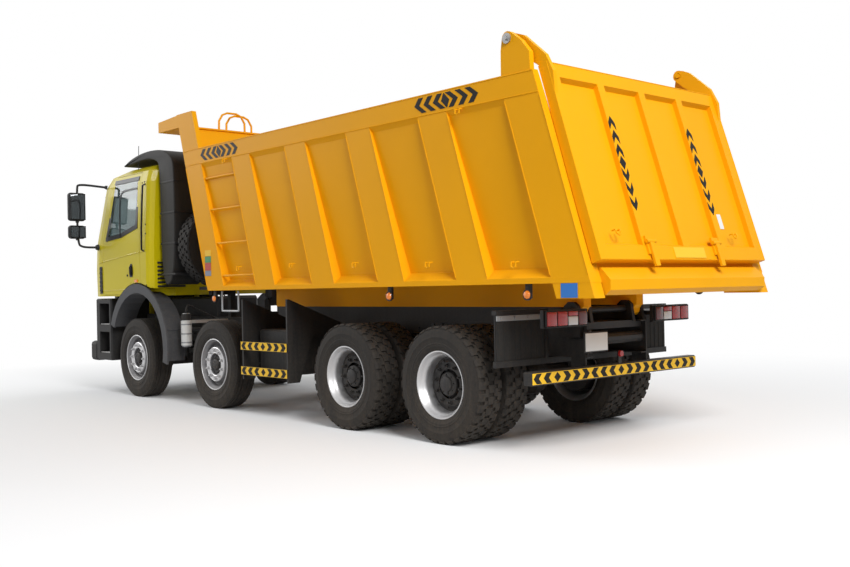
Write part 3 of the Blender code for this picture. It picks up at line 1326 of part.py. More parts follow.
def battery_box():
    """Battery box left of the frame with two striped guard boards in front of it."""
    box = block((BOARD_X[0] + 0.080, BOARD_X[1] - 0.080), (0.520, 1.060), (0.470, 0.960), 0.020, 1)
    pieces = [box]
    for x in BOARD_X:
        pieces.append(prism([
            (0.500, 1.020), (BOARD_Y - 0.030, 1.300), (BOARD_Y - 0.004, 1.300), (BOARD_Y - 0.004, 0.400),
            (1.080, 0.400), (0.900, 0.900), (0.500, 0.900),
        ], "X", x - 0.012, x + 0.012))
        pieces.append(block((x - 0.030, x + 0.030), (RAIL_OUTER_Y + SEAT_GAP, 0.540), (0.860, 1.000)))
    for x0, x1 in ((BOARD_X[0], BOARD_X[0] + 0.100), (BOARD_X[1] - 0.100, BOARD_X[1])):
        pieces.append(block((x0, x1), (0.950, 1.000), (0.840, 0.900)))
    for z in (0.500, 0.780):
        pieces.append(block((BOARD_X[0] - 0.020, BOARD_X[1] + 0.020), (BOARD_Y - 0.012, BOARD_Y + 0.012),
                            (z - 0.048, z + 0.048)))
    return fuse(*pieces)


def air_dryer():
    """Upright white canister on a bracket behind the first wheel's arch."""
    x, y = -1.130, 1.020
    pieces = [rod((x, y, 0.720), (x, y, 1.030), 0.068, sides=16), rod((x, y, 1.020), (x, y, 1.120), 0.058, sides=12)]
    pieces.append(block((x - 0.030, x + 0.030), (RAIL_OUTER_Y + SEAT_GAP, y), (1.000, 1.040)))
    return fuse(*pieces)


SPARE_X, SPARE_Y, SPARE_Z = -1.190, 0.560, 1.990


def spare_wheel():
    """Spare wheel standing across the frame behind the cab."""
    rim = FLANGE_HALF_WIDTH
    profile = [
        (0.0, 0.030), (DISC_RADIUS, 0.030), (WELL_RADIUS, 0.070), (FLANGE_RADIUS, rim),
        *tyre_outline(0.0), (FLANGE_RADIUS, -rim), (WELL_RADIUS, -0.030), (0.0, 0.0),
    ]
    wheel = turned(profile)
    wheel.data.transform(Matrix.Translation((SPARE_X, SPARE_Y, SPARE_Z)) @ Matrix.Rotation(pi / 2, 4, "Z"))
    return wheel


def spare_carrier():
    """Stand for the spare wheel on top of the left rail."""
    top = SPARE_Z - AXLE_Z - SEAT_GAP
    pieces = [
        block((SPARE_X - 0.100, SPARE_X + 0.100), (0.330, 0.800), (top - 0.040, top)),
        block((SPARE_X - 0.040, SPARE_X + 0.040), (0.350, 0.426), (RAIL_TOP_Z + SEAT_GAP, top - 0.030)),
        block((SPARE_X - 0.040, SPARE_X + 0.040), (0.350, 0.700), (top - 0.110, top - 0.030)),
    ]
    return fuse(*pieces)


def silencer():
    """Exhaust silencer right of the frame behind the first wheel."""
    x, y, z = (-1.350, -0.950), -0.760, 0.800
    drum = rod((x[1], y, z), (x[0], y, z), 0.190, sides=16)
    arm = block((x[0] + 0.130, x[1] - 0.130), (y + 0.060, -RAIL_OUTER_Y - SEAT_GAP), (z + 0.060, z + 0.140))
    return fuse(drum, arm)


# Assembly


def build_running_gear():
    for number, x in enumerate(AXLE_X, start=1):
        for side, way in SIDES.items():
            place = f"{number}_{side}"
            if number <= 2:
                hub = body(f"knuckle_{place}", "chassis", (x, way * KINGPIN_Y, AXLE_Z))
                node(sided(lambda: knuckle(x), side), f"knuckle_{place}", hub, "frame_black")
                turning = body(f"wheel_{place}", hub, (x, way * STEER_TRACK_HALF, AXLE_Z))
                wheel = make_wheel(steered_wheel_profile(), x, STEER_TRACK_HALF, side)
            else:
                turning = body(f"wheel_{place}", "chassis", (x, way * TWIN_TRACK_HALF, AXLE_Z))
                wheel = make_wheel(twin_wheel_profile(), x, TWIN_TRACK_HALF, side)
            node(wheel, f"wheel_{place}", turning, "rubber")
    node(steering_axle(AXLE_X[0]), "axle_1", "chassis", "frame_black")
    node(steering_axle(AXLE_X[1]), "axle_2", "chassis", "frame_black")
    node(drive_axle(AXLE_X[2]), "axle_3", "chassis", "frame_black")
    node(drive_axle(AXLE_X[3], AXLE_X[2] - DIFF_RADIUS - SEAT_GAP), "axle_4", "chassis", "frame_black")
    node(tandem_suspension(), "tandem_springs", "chassis", "frame_black")


def build_chassis():
    node(chassis_frame(), "chassis_frame", "chassis", "frame_black")
    node(engine_block(), "engine", "chassis", "steel")
    node(propshaft(), "propshaft", "chassis", "frame_black")
    node(fuel_tank(), "fuel_tank", "chassis", "steel")
    node(battery_box(), "battery_box", "chassis", "plastic")
    node(air_dryer(), "air_dryer", "chassis", "white")
    node(silencer(), "silencer", "chassis", "steel")
    node(front_bumper(), "front_bumper", "chassis", "plastic")
    for side in SIDES:
        node(sided(wheel_arch, side), f"wheel_arch_{side}", "chassis", "fender_grey")
    node(rear_fenders(), "rear_fenders", "chassis", "frame_black")
    node(underrun_bar(), "underrun_bar", "chassis", "body_paint")
    node(spare_wheel(), "spare_wheel", "chassis", "rubber")
    node(spare_carrier(), "spare_carrier", "chassis", "frame_black")


def build_cab():
    body("cab", "chassis", (CAB_TILT_X, 0.0, CAB_TILT_Z))
    shell = cab_solid_shell()
    node(cab_shell(shell), "cab_shell", "cab", "cab_paint")
    node(cab_grille(), "cab_grille", "cab", "plastic")
    node(common(glass_skin(), screen_prism(SEAT_GAP)), "windscreen", "cab", "glass")
    node(dashboard(), "dashboard", "cab", "trim_grey")
    node(seats(), "seats", "cab", "trim_grey")
    node(air_intake(), "air_intake", "cab", "plastic")
    for side, way in SIDES.items():
        hinge = body(f"door_{side}", "cab", (DOOR_FRONT_X, way * (CAB_HALF_WIDTH - 0.004), CAB_BELT_Z))
        node(sided(lambda: door(shell), side), f"door_{side}", hinge, "cab_paint")
        pane = window_prism(SEAT_GAP, CAB_HALF_WIDTH - 0.300, CAB_HALF_WIDTH + 0.100)
        pane = common(glass_skin(), pane)
        node(sided(lambda: pane, side), f"door_glass_{side}", hinge, "glass")
        node(sided(mirrors, side), f"mirrors_{side}", "cab", "plastic")
    bpy.data.objects.remove(shell, do_unlink=True)
    centre = Vector((STEERING_X, STEERING_Y, STEERING_Z))
    body("steering_wheel", "cab", centre)
    node(steering_wheel(), "steering_wheel", "steering_wheel", "plastic")


def build_bed():
    body("bed", "chassis", (BED_PIVOT_X, 0.0, BED_PIVOT_Z))
    node(bed_floor(), "bed_floor", "bed", "body_paint")
    node(bed_side(True), "bed_side_left", "bed", "body_paint")
    node(sided(lambda: bed_side(False), "right"), "bed_side_right", "bed", "body_paint")
    node(bed_front_wall(), "bed_front_wall", "bed", "body_paint")
    body("tailgate", "bed", (GATE_PIVOT_X, 0.0, GATE_PIVOT_Z))
    node(tailgate(), "tailgate", "tailgate", "body_paint")


def build_hoist():
    parent = body("hoist_barrel", "chassis", (HOIST_X, 0.0, HOIST_FOOT_Z))
    node(hoist_tube(0), "hoist_barrel", parent, "steel")
    for index in range(1, HOIST_STAGES + 1):
        parent = body(f"hoist_stage_{index}", parent, (HOIST_X, 0.0, HOIST_FOOT_Z))
        node(hoist_tube(index), f"hoist_stage_{index}", parent, "chrome")


def main():
    body("chassis")
    build_running_gear()
    build_chassis()
    build_cab()
    build_bed()
    build_hoist()
    bpy.context.view_layer.update()


main()
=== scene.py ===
"""Looks of a four-axle dump truck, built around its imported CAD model.

The CAD nodes stay where they are and take procedural finishes. Wheels are replaced by
detailed ones, and lamps, chevrons, hooks, steps and cab trim ride on the CAD bodies.
Everything is in metres in the CAD's own frame: +X forward, +Y to the truck's left, +Z up.
"""

from __future__ import annotations

import json
import logging
import math
from dataclasses import dataclass, field
from enum import Enum
from typing import Iterable, Sequence

import bmesh
import bpy
from mathutils import Matrix, Vector

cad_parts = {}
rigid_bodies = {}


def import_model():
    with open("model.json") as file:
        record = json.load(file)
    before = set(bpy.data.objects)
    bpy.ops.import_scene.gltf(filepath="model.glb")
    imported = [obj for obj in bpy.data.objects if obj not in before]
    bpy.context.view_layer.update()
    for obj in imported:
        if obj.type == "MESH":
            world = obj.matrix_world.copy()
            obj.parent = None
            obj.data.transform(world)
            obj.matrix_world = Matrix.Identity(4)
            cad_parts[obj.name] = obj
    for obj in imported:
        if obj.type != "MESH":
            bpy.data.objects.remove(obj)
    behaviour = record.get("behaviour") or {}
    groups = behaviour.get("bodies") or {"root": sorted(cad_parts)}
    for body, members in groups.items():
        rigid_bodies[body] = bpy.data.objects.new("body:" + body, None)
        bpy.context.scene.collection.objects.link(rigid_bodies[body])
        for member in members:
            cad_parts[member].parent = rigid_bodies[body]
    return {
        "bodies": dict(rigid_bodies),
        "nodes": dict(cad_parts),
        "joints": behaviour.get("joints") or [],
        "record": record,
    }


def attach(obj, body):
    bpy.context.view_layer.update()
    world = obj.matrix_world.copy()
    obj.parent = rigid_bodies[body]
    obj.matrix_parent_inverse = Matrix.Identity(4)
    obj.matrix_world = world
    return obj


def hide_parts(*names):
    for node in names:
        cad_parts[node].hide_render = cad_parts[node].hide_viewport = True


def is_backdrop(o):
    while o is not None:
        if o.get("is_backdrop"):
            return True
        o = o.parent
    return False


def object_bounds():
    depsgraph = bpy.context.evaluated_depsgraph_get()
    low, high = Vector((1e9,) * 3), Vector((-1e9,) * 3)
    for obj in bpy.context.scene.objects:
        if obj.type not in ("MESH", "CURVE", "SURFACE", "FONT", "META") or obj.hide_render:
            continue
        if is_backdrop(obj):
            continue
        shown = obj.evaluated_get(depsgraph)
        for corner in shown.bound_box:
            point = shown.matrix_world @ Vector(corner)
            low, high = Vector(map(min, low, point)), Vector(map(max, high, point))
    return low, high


LOG = logging.getLogger("dump_truck")

Point2 = tuple[float, float]
Point3 = tuple[float, float, float]

BUMP_DISTANCE = 0.002
MERGE_DISTANCE = 0.00002
SAME_PLACE = 0.0001
MARK_THICKNESS = 0.0025
UP = Vector((0.0, 0.0, 1.0))


class Side(Enum):
    """Side of the truck, with its sign along Y."""

    LEFT = 1
    RIGHT = -1

    @property
    def label(self) -> str:
        """Lower-case name used in piece and body names."""
        return self.name.lower()

    @property
    def out(self) -> Point3:
        """Direction out of this side."""
        return (0.0, float(self.value), 0.0)

    def band(self, low: float, high: float) -> Point2:
        """Two Y values of the left side, carried over to this side."""
        return (self.value * low, self.value * high)


class Axis(Enum):
    """Direction that a flat outline is carried along."""

    X = 0
    Y = 1
    Z = 2


# Shader node groups


class NodeGroups:
    """Shader node groups that several finishes share, each built once."""

    LEVEL_SHARE = 0.35
    DUST_ROUGHNESS = 0.45

    def __init__(self) -> None:
        """Start with no group built."""
        self._made: dict[str, bpy.types.ShaderNodeTree] = {}

    def weathering(self) -> bpy.types.ShaderNodeTree:
        """Group that varies a colour, lays dust low down and on level faces, and gives a grain.

        Returns:
            Node tree with Vector, Normal, Colour, Roughness, Dust Colour, Dust, Dust Top,
            Variation and Grain Scale inputs, and Colour, Roughness and Height outputs.
        """
        if "weathering" in self._made:
            return self._made["weathering"]
        tree = bpy.data.node_groups.new("weathering", "ShaderNodeTree")
        for name, kind, default in (
            ("Vector", "NodeSocketVector", None),
            ("Normal", "NodeSocketVector", None),
            ("Colour", "NodeSocketColor", (0.5, 0.5, 0.5, 1.0)),
            ("Roughness", "NodeSocketFloat", 0.5),
            ("Dust Colour", "NodeSocketColor", (0.35, 0.29, 0.22, 1.0)),
            ("Dust", "NodeSocketFloat", 0.2),
            ("Dust Top", "NodeSocketFloat", 1.2),
            ("Variation", "NodeSocketFloat", 0.06),
            ("Grain Scale", "NodeSocketFloat", 200.0),
        ):
            socket = tree.interface.new_socket(name, in_out="INPUT", socket_type=kind)
            if default is not None:
                socket.default_value = default
        for name, kind in (("Colour", "NodeSocketColor"), ("Roughness", "NodeSocketFloat"),
                           ("Height", "NodeSocketFloat")):
            tree.interface.new_socket(name, in_out="OUTPUT", socket_type=kind)
        build = NodeBuilder(tree)
        given = build.node("NodeGroupInput")
        result = build.node("NodeGroupOutput")

        broad = build.noise(given.outputs["Vector"], scale=1.7, detail=4.0, roughness=0.6)
        streak_space = build.node("ShaderNodeVectorMath", operation="MULTIPLY")
        streak_space.inputs[1].default_value = (14.0, 14.0, 0.9)
        build.link(given.outputs["Vector"], streak_space.inputs[0])
        streaks = build.noise(streak_space.outputs[0], scale=1.0, detail=5.0, roughness=0.7)
        fine = build.noise(given.outputs["Vector"], scale=38.0, detail=3.0, roughness=0.65)
        grain = build.noise(given.outputs["Vector"], scale=None, detail=2.0, roughness=0.5)
        build.link(given.outputs["Grain Scale"], grain.inputs["Scale"])

        shade = build.math("MULTIPLY_ADD", broad.outputs["Fac"], 2.0, -1.0)
        shade = build.math("MULTIPLY", shade, given.outputs["Variation"])
        value = build.math("ADD", shade, 1.0)
        tinted = build.node("ShaderNodeHueSaturation")
        build.link(given.outputs["Colour"], tinted.inputs["Color"])
        build.link(value, tinted.inputs["Value"])

        split = build.node("ShaderNodeSeparateXYZ")
        build.link(given.outputs["Vector"], split.inputs[0])
        low = build.node("ShaderNodeMapRange")
        build.link(split.outputs["Z"], low.inputs["Value"])
        build.link(given.outputs["Dust Top"], low.inputs["From Max"])
        build.fill(low, {"From Min": 0.0, "To Min": 1.0, "To Max": 0.12})
        normal = build.node("ShaderNodeSeparateXYZ")
        build.link(given.outputs["Normal"], normal.inputs[0])
        level = build.math("MAXIMUM", normal.outputs["Z"], 0.0)
        level = build.math("MULTIPLY", level, self.LEVEL_SHARE)
        amount = build.math("ADD", low.outputs[0], level)
        patches = build.ramp(streaks.outputs["Fac"], low=0.35, high=0.75)
        speckle = build.ramp(fine.outputs["Fac"], low=0.3, high=0.8)
        patches = build.math("ADD", patches, speckle)
        amount = build.math("MULTIPLY", amount, patches)
        amount = build.math("MULTIPLY", amount, given.outputs["Dust"])
        amount = build.math("MINIMUM", amount, 1.0)

        mixed = build.node("ShaderNodeMix", data_type="RGBA")
        build.link(amount, mixed.inputs["Factor"])
        build.link(tinted.outputs["Color"], mixed.inputs[6])
        build.link(given.outputs["Dust Colour"], mixed.inputs[7])
        build.link(mixed.outputs[2], result.inputs["Colour"])
        rough = build.math("MULTIPLY_ADD", amount, self.DUST_ROUGHNESS, given.outputs["Roughness"])
        rough = build.math("MINIMUM", rough, 1.0)
        build.link(rough, result.inputs["Roughness"])
        build.link(grain.outputs["Fac"], result.inputs["Height"])
        self._made["weathering"] = tree
        return tree


class NodeBuilder:
    """Small helper that adds and links nodes in one tree."""

    def __init__(self, tree: bpy.types.NodeTree) -> None:
        """Work in one tree."""
        self.tree = tree

    def node(self, kind: str, **settings: object) -> bpy.types.Node:
        """Add a node and set its plain properties.

        Args:
            kind: Blender's node type name.
            settings: Property names and values.

        Returns:
            The new node.
        """
        made = self.tree.nodes.new(kind)
        for name, value in settings.items():
            setattr(made, name, value)
        return made

    def link(self, start: bpy.types.NodeSocket, end: bpy.types.NodeSocket) -> None:
        """Join an output to an input."""
        self.tree.links.new(start, end)

    def fill(self, node: bpy.types.Node, values: dict[str, object]) -> None:
        """Set a node's inputs by their names."""
        for name, value in values.items():
            node.inputs[name].default_value = value

    def math(self, operation: str, *values: object) -> bpy.types.NodeSocket:
        """Add a Math node.

        Args:
            operation: The node's operation.
            values: Sockets or numbers for its inputs, in order.

        Returns:
            The node's output.
        """
        made = self.node("ShaderNodeMath", operation=operation)
        for socket, value in zip(made.inputs, values):
            if isinstance(value, (int, float)):
                socket.default_value = value
            else:
                self.link(value, socket)
        return made.outputs[0]

    def noise(self, vector: bpy.types.NodeSocket, scale: float | None, detail: float,
              roughness: float) -> bpy.types.Node:
        """Add a Noise Texture on a vector.

        Args:
            vector: Socket with the coordinates.
            scale: Its scale, or None where a socket is linked to it afterwards.
            detail: Number of octaves.
            roughness: How much the fine octaves count.

        Returns:
            The texture node.
        """
        made = self.node("ShaderNodeTexNoise")
        self.link(vector, made.inputs["Vector"])
        self.fill(made, {"Detail": detail, "Roughness": roughness})
        if scale is not None:
            made.inputs["Scale"].default_value = scale
        return made

    def ramp(self, value: bpy.types.NodeSocket, low: float, high: float) -> bpy.types.NodeSocket:
        """Stretch a value from low..high to 0..1.

        Args:
            value: Socket to stretch.
            low: Value that becomes 0.
            high: Value that becomes 1.

        Returns:
            The stretched value's socket.
        """
        made = self.node("ShaderNodeMapRange")
        self.link(value, made.inputs["Value"])
        self.fill(made, {"From Min": low, "From Max": high})
        return made.outputs[0]

    def seen_by_lens(self) -> bpy.types.NodeSocket:
        """Mask of the camera, glossy and transmitted rays.

        Returns:
            Socket that is 1 for those rays and 0 for the others.
        """
        path = self.node("ShaderNodeLightPath")
        seen = self.math("MAXIMUM", path.outputs["Is Camera Ray"], path.outputs["Is Glossy Ray"])
        return self.math("MAXIMUM", seen, path.outputs["Is Transmission Ray"])


# Finishes


@dataclass(frozen=True)
class Finish:
    """Surface finish of one kind of material, weathered by the shared node group."""

    name: str
    colour: tuple[float, float, float]
    roughness: float
    metallic: float = 0.0
    specular: float = 0.3
    coat: float = 0.0
    coat_roughness: float = 0.1
    dust: float = 0.15
    dust_top: float = 1.3
    dust_colour: tuple[float, float, float] = (0.3, 0.25, 0.19)
    variation: float = 0.06
    grain_scale: float = 220.0
    grain: float = 0.03
    ribs: float = 0.0

    def make(self, groups: NodeGroups) -> bpy.types.Material:
        """Build the Blender material.

        Args:
            groups: Shared node groups.

        Returns:
            The finished material.
        """
        made = bpy.data.materials.new(self.name)
        made.use_nodes = True
        tree = made.node_tree
        build = NodeBuilder(tree)
        shader = tree.nodes["Principled BSDF"]
        place = build.node("ShaderNodeTexCoord")
        geometry = build.node("ShaderNodeNewGeometry")
        worn = build.node("ShaderNodeGroup", node_tree=groups.weathering())
        build.link(place.outputs["Object"], worn.inputs["Vector"])
        build.link(geometry.outputs["Normal"], worn.inputs["Normal"])
        build.fill(worn, {
            "Colour": (*self.colour, 1.0), "Roughness": self.roughness,
            "Dust Colour": (*self.dust_colour, 1.0), "Dust": self.dust, "Dust Top": self.dust_top,
            "Variation": self.variation, "Grain Scale": self.grain_scale,
        })
        build.link(worn.outputs["Colour"], shader.inputs["Base Color"])
        build.link(worn.outputs["Roughness"], shader.inputs["Roughness"])
        height = worn.outputs["Height"]
        if self.ribs:
            waves = build.node("ShaderNodeTexWave", bands_direction="Z")
            build.link(place.outputs["Object"], waves.inputs["Vector"])
            waves.inputs["Scale"].default_value = self.ribs
            height = build.math("ADD", height, waves.outputs["Fac"])
        bump = build.node("ShaderNodeBump")
        build.fill(bump, {"Strength": self.grain, "Distance": BUMP_DISTANCE})
        build.link(height, bump.inputs["Height"])
        build.link(bump.outputs["Normal"], shader.inputs["Normal"])
        build.fill(shader, {
            "Metallic": self.metallic, "Specular IOR Level": self.specular,
            "Coat Weight": self.coat, "Coat Roughness": self.coat_roughness,
        })
        return made


class Paint(Enum):
    """Every finish on the truck."""

    BODY = Finish("tipper_orange_yellow", (0.84, 0.375, 0.002), 0.42, specular=0.08, coat=0.02,
                  coat_roughness=0.18, dust=0.05, dust_top=1.7, variation=0.05, grain_scale=60.0,
                  grain=0.05)
    BODY_INSIDE = Finish("tipper_inside_paint", (0.8, 0.36, 0.012), 0.55, dust=0.25, dust_top=3.0,
                         variation=0.08)
    CAB = Finish("cab_lemon_yellow", (0.6, 0.49, 0.002), 0.32, specular=0.14, coat=0.14,
                 coat_roughness=0.08, dust=0.05, dust_top=1.9, variation=0.03, grain_scale=80.0,
                 grain=0.02)
    FRAME = Finish("chassis_black", (0.008, 0.008, 0.009), 0.52, dust=0.1, dust_top=1.4, variation=0.2,
                   grain=0.12)
    PLASTIC = Finish("moulded_black_plastic", (0.011, 0.011, 0.012), 0.6, dust=0.05, dust_top=1.6,
                     grain_scale=420.0, grain=0.18)
    GLOSS_BLACK = Finish("gloss_black_trim", (0.006, 0.006, 0.007), 0.28, specular=0.14, coat=0.05,
                         dust=0.04, grain=0.01)
    FENDER = Finish("grey_fender_plastic", (0.048, 0.05, 0.056), 0.58, dust=0.12, dust_top=1.6,
                    grain_scale=380.0, grain=0.15)
    TYRE = Finish("tyre_rubber", (0.013, 0.012, 0.0115), 0.78, dust=0.16, dust_top=1.3,
                  dust_colour=(0.2, 0.155, 0.11), variation=0.18, grain_scale=300.0, grain=0.25)
    FLAP = Finish("mudflap_rubber", (0.01, 0.01, 0.01), 0.78, dust=0.08, grain_scale=160.0, grain=0.3)
    RIM = Finish("rim_silver", (0.56, 0.56, 0.57), 0.34, metallic=0.8, dust=0.16, dust_top=1.2,
                 variation=0.08, grain_scale=120.0, grain=0.04)
    # Steered and spare rims: the rims' steel darkened to dull grey as painted shade of the rim well; the
    # rims' own colour is the silver above.
    RIM_GREY = Finish("rim_dull_grey", (0.2, 0.2, 0.21), 0.48, metallic=0.6, dust=0.16, variation=0.12)
    HUB = Finish("hub_dark_grey", (0.022, 0.022, 0.024), 0.5, metallic=0.2, dust=0.12, variation=0.2)
    STEEL = Finish("dull_steel", (0.36, 0.36, 0.36), 0.4, metallic=0.8, dust=0.3, variation=0.1)
    CHROME = Finish("hoist_chrome", (0.4, 0.41, 0.43), 0.2, metallic=1.0, dust=0.05, grain=0.01)
    MIRROR = Finish("mirror_glass", (0.3, 0.31, 0.32), 0.04, metallic=1.0, dust=0.03, grain=0.0)
    GALVANISED = Finish("grey_bracket", (0.3, 0.31, 0.32), 0.45, metallic=0.5, dust=0.25)
    MARK_BLACK = Finish("black_marking", (0.006, 0.006, 0.006), 0.5, specular=0.15, dust=0.06,
                        variation=0.1)
    MARK_YELLOW = Finish("marking_yellow", (0.84, 0.5, 0.015), 0.4, dust=0.05, dust_top=1.0)
    WHITE = Finish("white_plastic", (0.72, 0.72, 0.7), 0.35, dust=0.22, variation=0.04)
    SIGN_WHITE = Finish("blank_plate_white", (0.74, 0.74, 0.72), 0.4, dust=0.06)
    SIGN_GREY = Finish("blank_label_grey", (0.22, 0.24, 0.3), 0.45, dust=0.06)
    SIGN_BLUE = Finish("blank_label_blue", (0.03, 0.17, 0.52), 0.4, dust=0.06)
    SIGN_GREEN = Finish("block_green", (0.05, 0.25, 0.1), 0.4, dust=0.06)
    SIGN_RED = Finish("block_red", (0.42, 0.05, 0.04), 0.4, dust=0.06)
    LENS_RED = Finish("red_lamp_lens", (0.36, 0.006, 0.008), 0.12, coat=0.6, dust=0.08, ribs=60.0,
                      grain=0.25)
    LENS_DARK = Finish("dark_red_lamp_lens", (0.1, 0.006, 0.008), 0.12, coat=0.6, dust=0.08, ribs=60.0,
                       grain=0.25)
    LENS_AMBER = Finish("amber_lamp_lens", (0.85, 0.22, 0.01), 0.12, coat=0.6, dust=0.06, ribs=60.0,
                        grain=0.25)
    LENS_CLEAR = Finish("clear_lamp_lens", (0.62, 0.64, 0.66), 0.08, coat=0.8, dust=0.05, ribs=50.0,
                        grain=0.3)
    SEAT = Finish("seat_cloth", (0.05, 0.052, 0.06), 0.9, dust=0.04, dust_top=0.5, variation=0.12,
                  grain_scale=700.0, grain=0.5)
    TRIM = Finish("cab_trim", (0.16, 0.155, 0.15), 0.75, dust=0.04, dust_top=0.5, grain_scale=500.0,
                  grain=0.3)
    HOSE = Finish("rubber_hose", (0.012, 0.012, 0.012), 0.65, dust=0.2)


class Palette:
    """Makes each finish's material the first time that a piece asks for it."""

    def __init__(self) -> None:
        """Start with no material made."""
        self.groups = NodeGroups()
        self._made: dict[str, bpy.types.Material] = {}

    def get(self, paint: Paint) -> bpy.types.Material:
        """Material of a finish."""
        if paint.name not in self._made:
            self._made[paint.name] = paint.value.make(self.groups)
        return self._made[paint.name]

    def glass(self) -> bpy.types.Material:
        """Tinted window glass with a faint uneven film.

        Returns:
            The material, the same one each time.
        """
        if "glass" not in self._made:
            made = bpy.data.materials.new("tinted_glass")
            made.use_nodes = True
            build = NodeBuilder(made.node_tree)
            shader = made.node_tree.nodes["Principled BSDF"]
            place = build.node("ShaderNodeTexCoord")
            film = build.noise(place.outputs["Object"], scale=6.0, detail=3.0, roughness=0.6)
            rough = build.math("MULTIPLY_ADD", film.outputs["Fac"], 0.05, 0.01)
            build.link(rough, shader.inputs["Roughness"])
            build.fill(shader, {"Base Color": (0.3, 0.38, 0.38, 1.0), "Transmission Weight": 0.85,
                                "IOR": 1.45})
            self._made["glass"] = made
        return self._made["glass"]


# Meshes


def eased(points: Sequence[Sequence[float]], passes: int,
          closed: bool = False) -> list[tuple[float, ...]]:
    """Round a run of points off by cutting its corners.

    Args:
        points: Points in the plane or in space.
        passes: How many times the corners are cut.
        closed: True for a ring.

    Returns:
        The rounded points.
    """
    run = [tuple(point) for point in points]
    for _ in range(passes):
        following = run[1:] + run[:1] if closed else run[1:]
        cut: list[tuple[float, ...]] = [] if closed else [run[0]]
        for a, b in zip(run, following):
            cut.append(tuple(0.75 * p + 0.25 * q for p, q in zip(a, b)))
            cut.append(tuple(0.25 * p + 0.75 * q for p, q in zip(a, b)))
        run = cut if closed else cut + [run[-1]]
    return run


def round_about(count: int, radius: float, offset: float = 0.0) -> list[Point2]:
    """Points evenly round a circle, the first one turned on by offset steps."""
    angles = [2 * math.pi * (i + offset) / count for i in range(count)]
    return [(radius * math.cos(angle), radius * math.sin(angle)) for angle in angles]


def facing(corners: Sequence[Sequence[float]], out: Sequence[float]) -> list[Vector]:
    """Order corners so that their face looks the given way.

    Args:
        corners: Points of a flat ring, in either order.
        out: Direction that the face has to look in.

    Returns:
        The corners, counter-clockwise seen from outside.
    """
    ring = [Vector(corner) for corner in corners]
    turn = (ring[1] - ring[0]).cross(ring[2] - ring[1])
    return ring if turn.dot(Vector(out)) > 0 else ring[::-1]


def chevron(tip: float, way: int, depth: float, stroke: float, half: float) -> list[list[Point2]]:
    """Outline a chevron's two arms, as (run, rise) from its middle line.

    Args:
        tip: Run of its point.
        way: 1 where it points along the run, -1 where it points back.
        depth: How far its arms reach back.
        stroke: Width of its arms along the run.
        half: Half its height.

    Returns:
        The two outlines.
    """
    back = tip - way * depth
    return [[(tip, 0.0), (back, edge), (back - way * stroke, edge), (tip - way * stroke, 0.0)]
            for edge in (-half, half)]


def diamond(centre: float, reach: float, half: float) -> list[Point2]:
    """Outline a diamond, as (run, rise), from the corner that reach points to."""
    return [(centre + reach, 0.0), (centre, half), (centre - reach, 0.0), (centre, -half)]


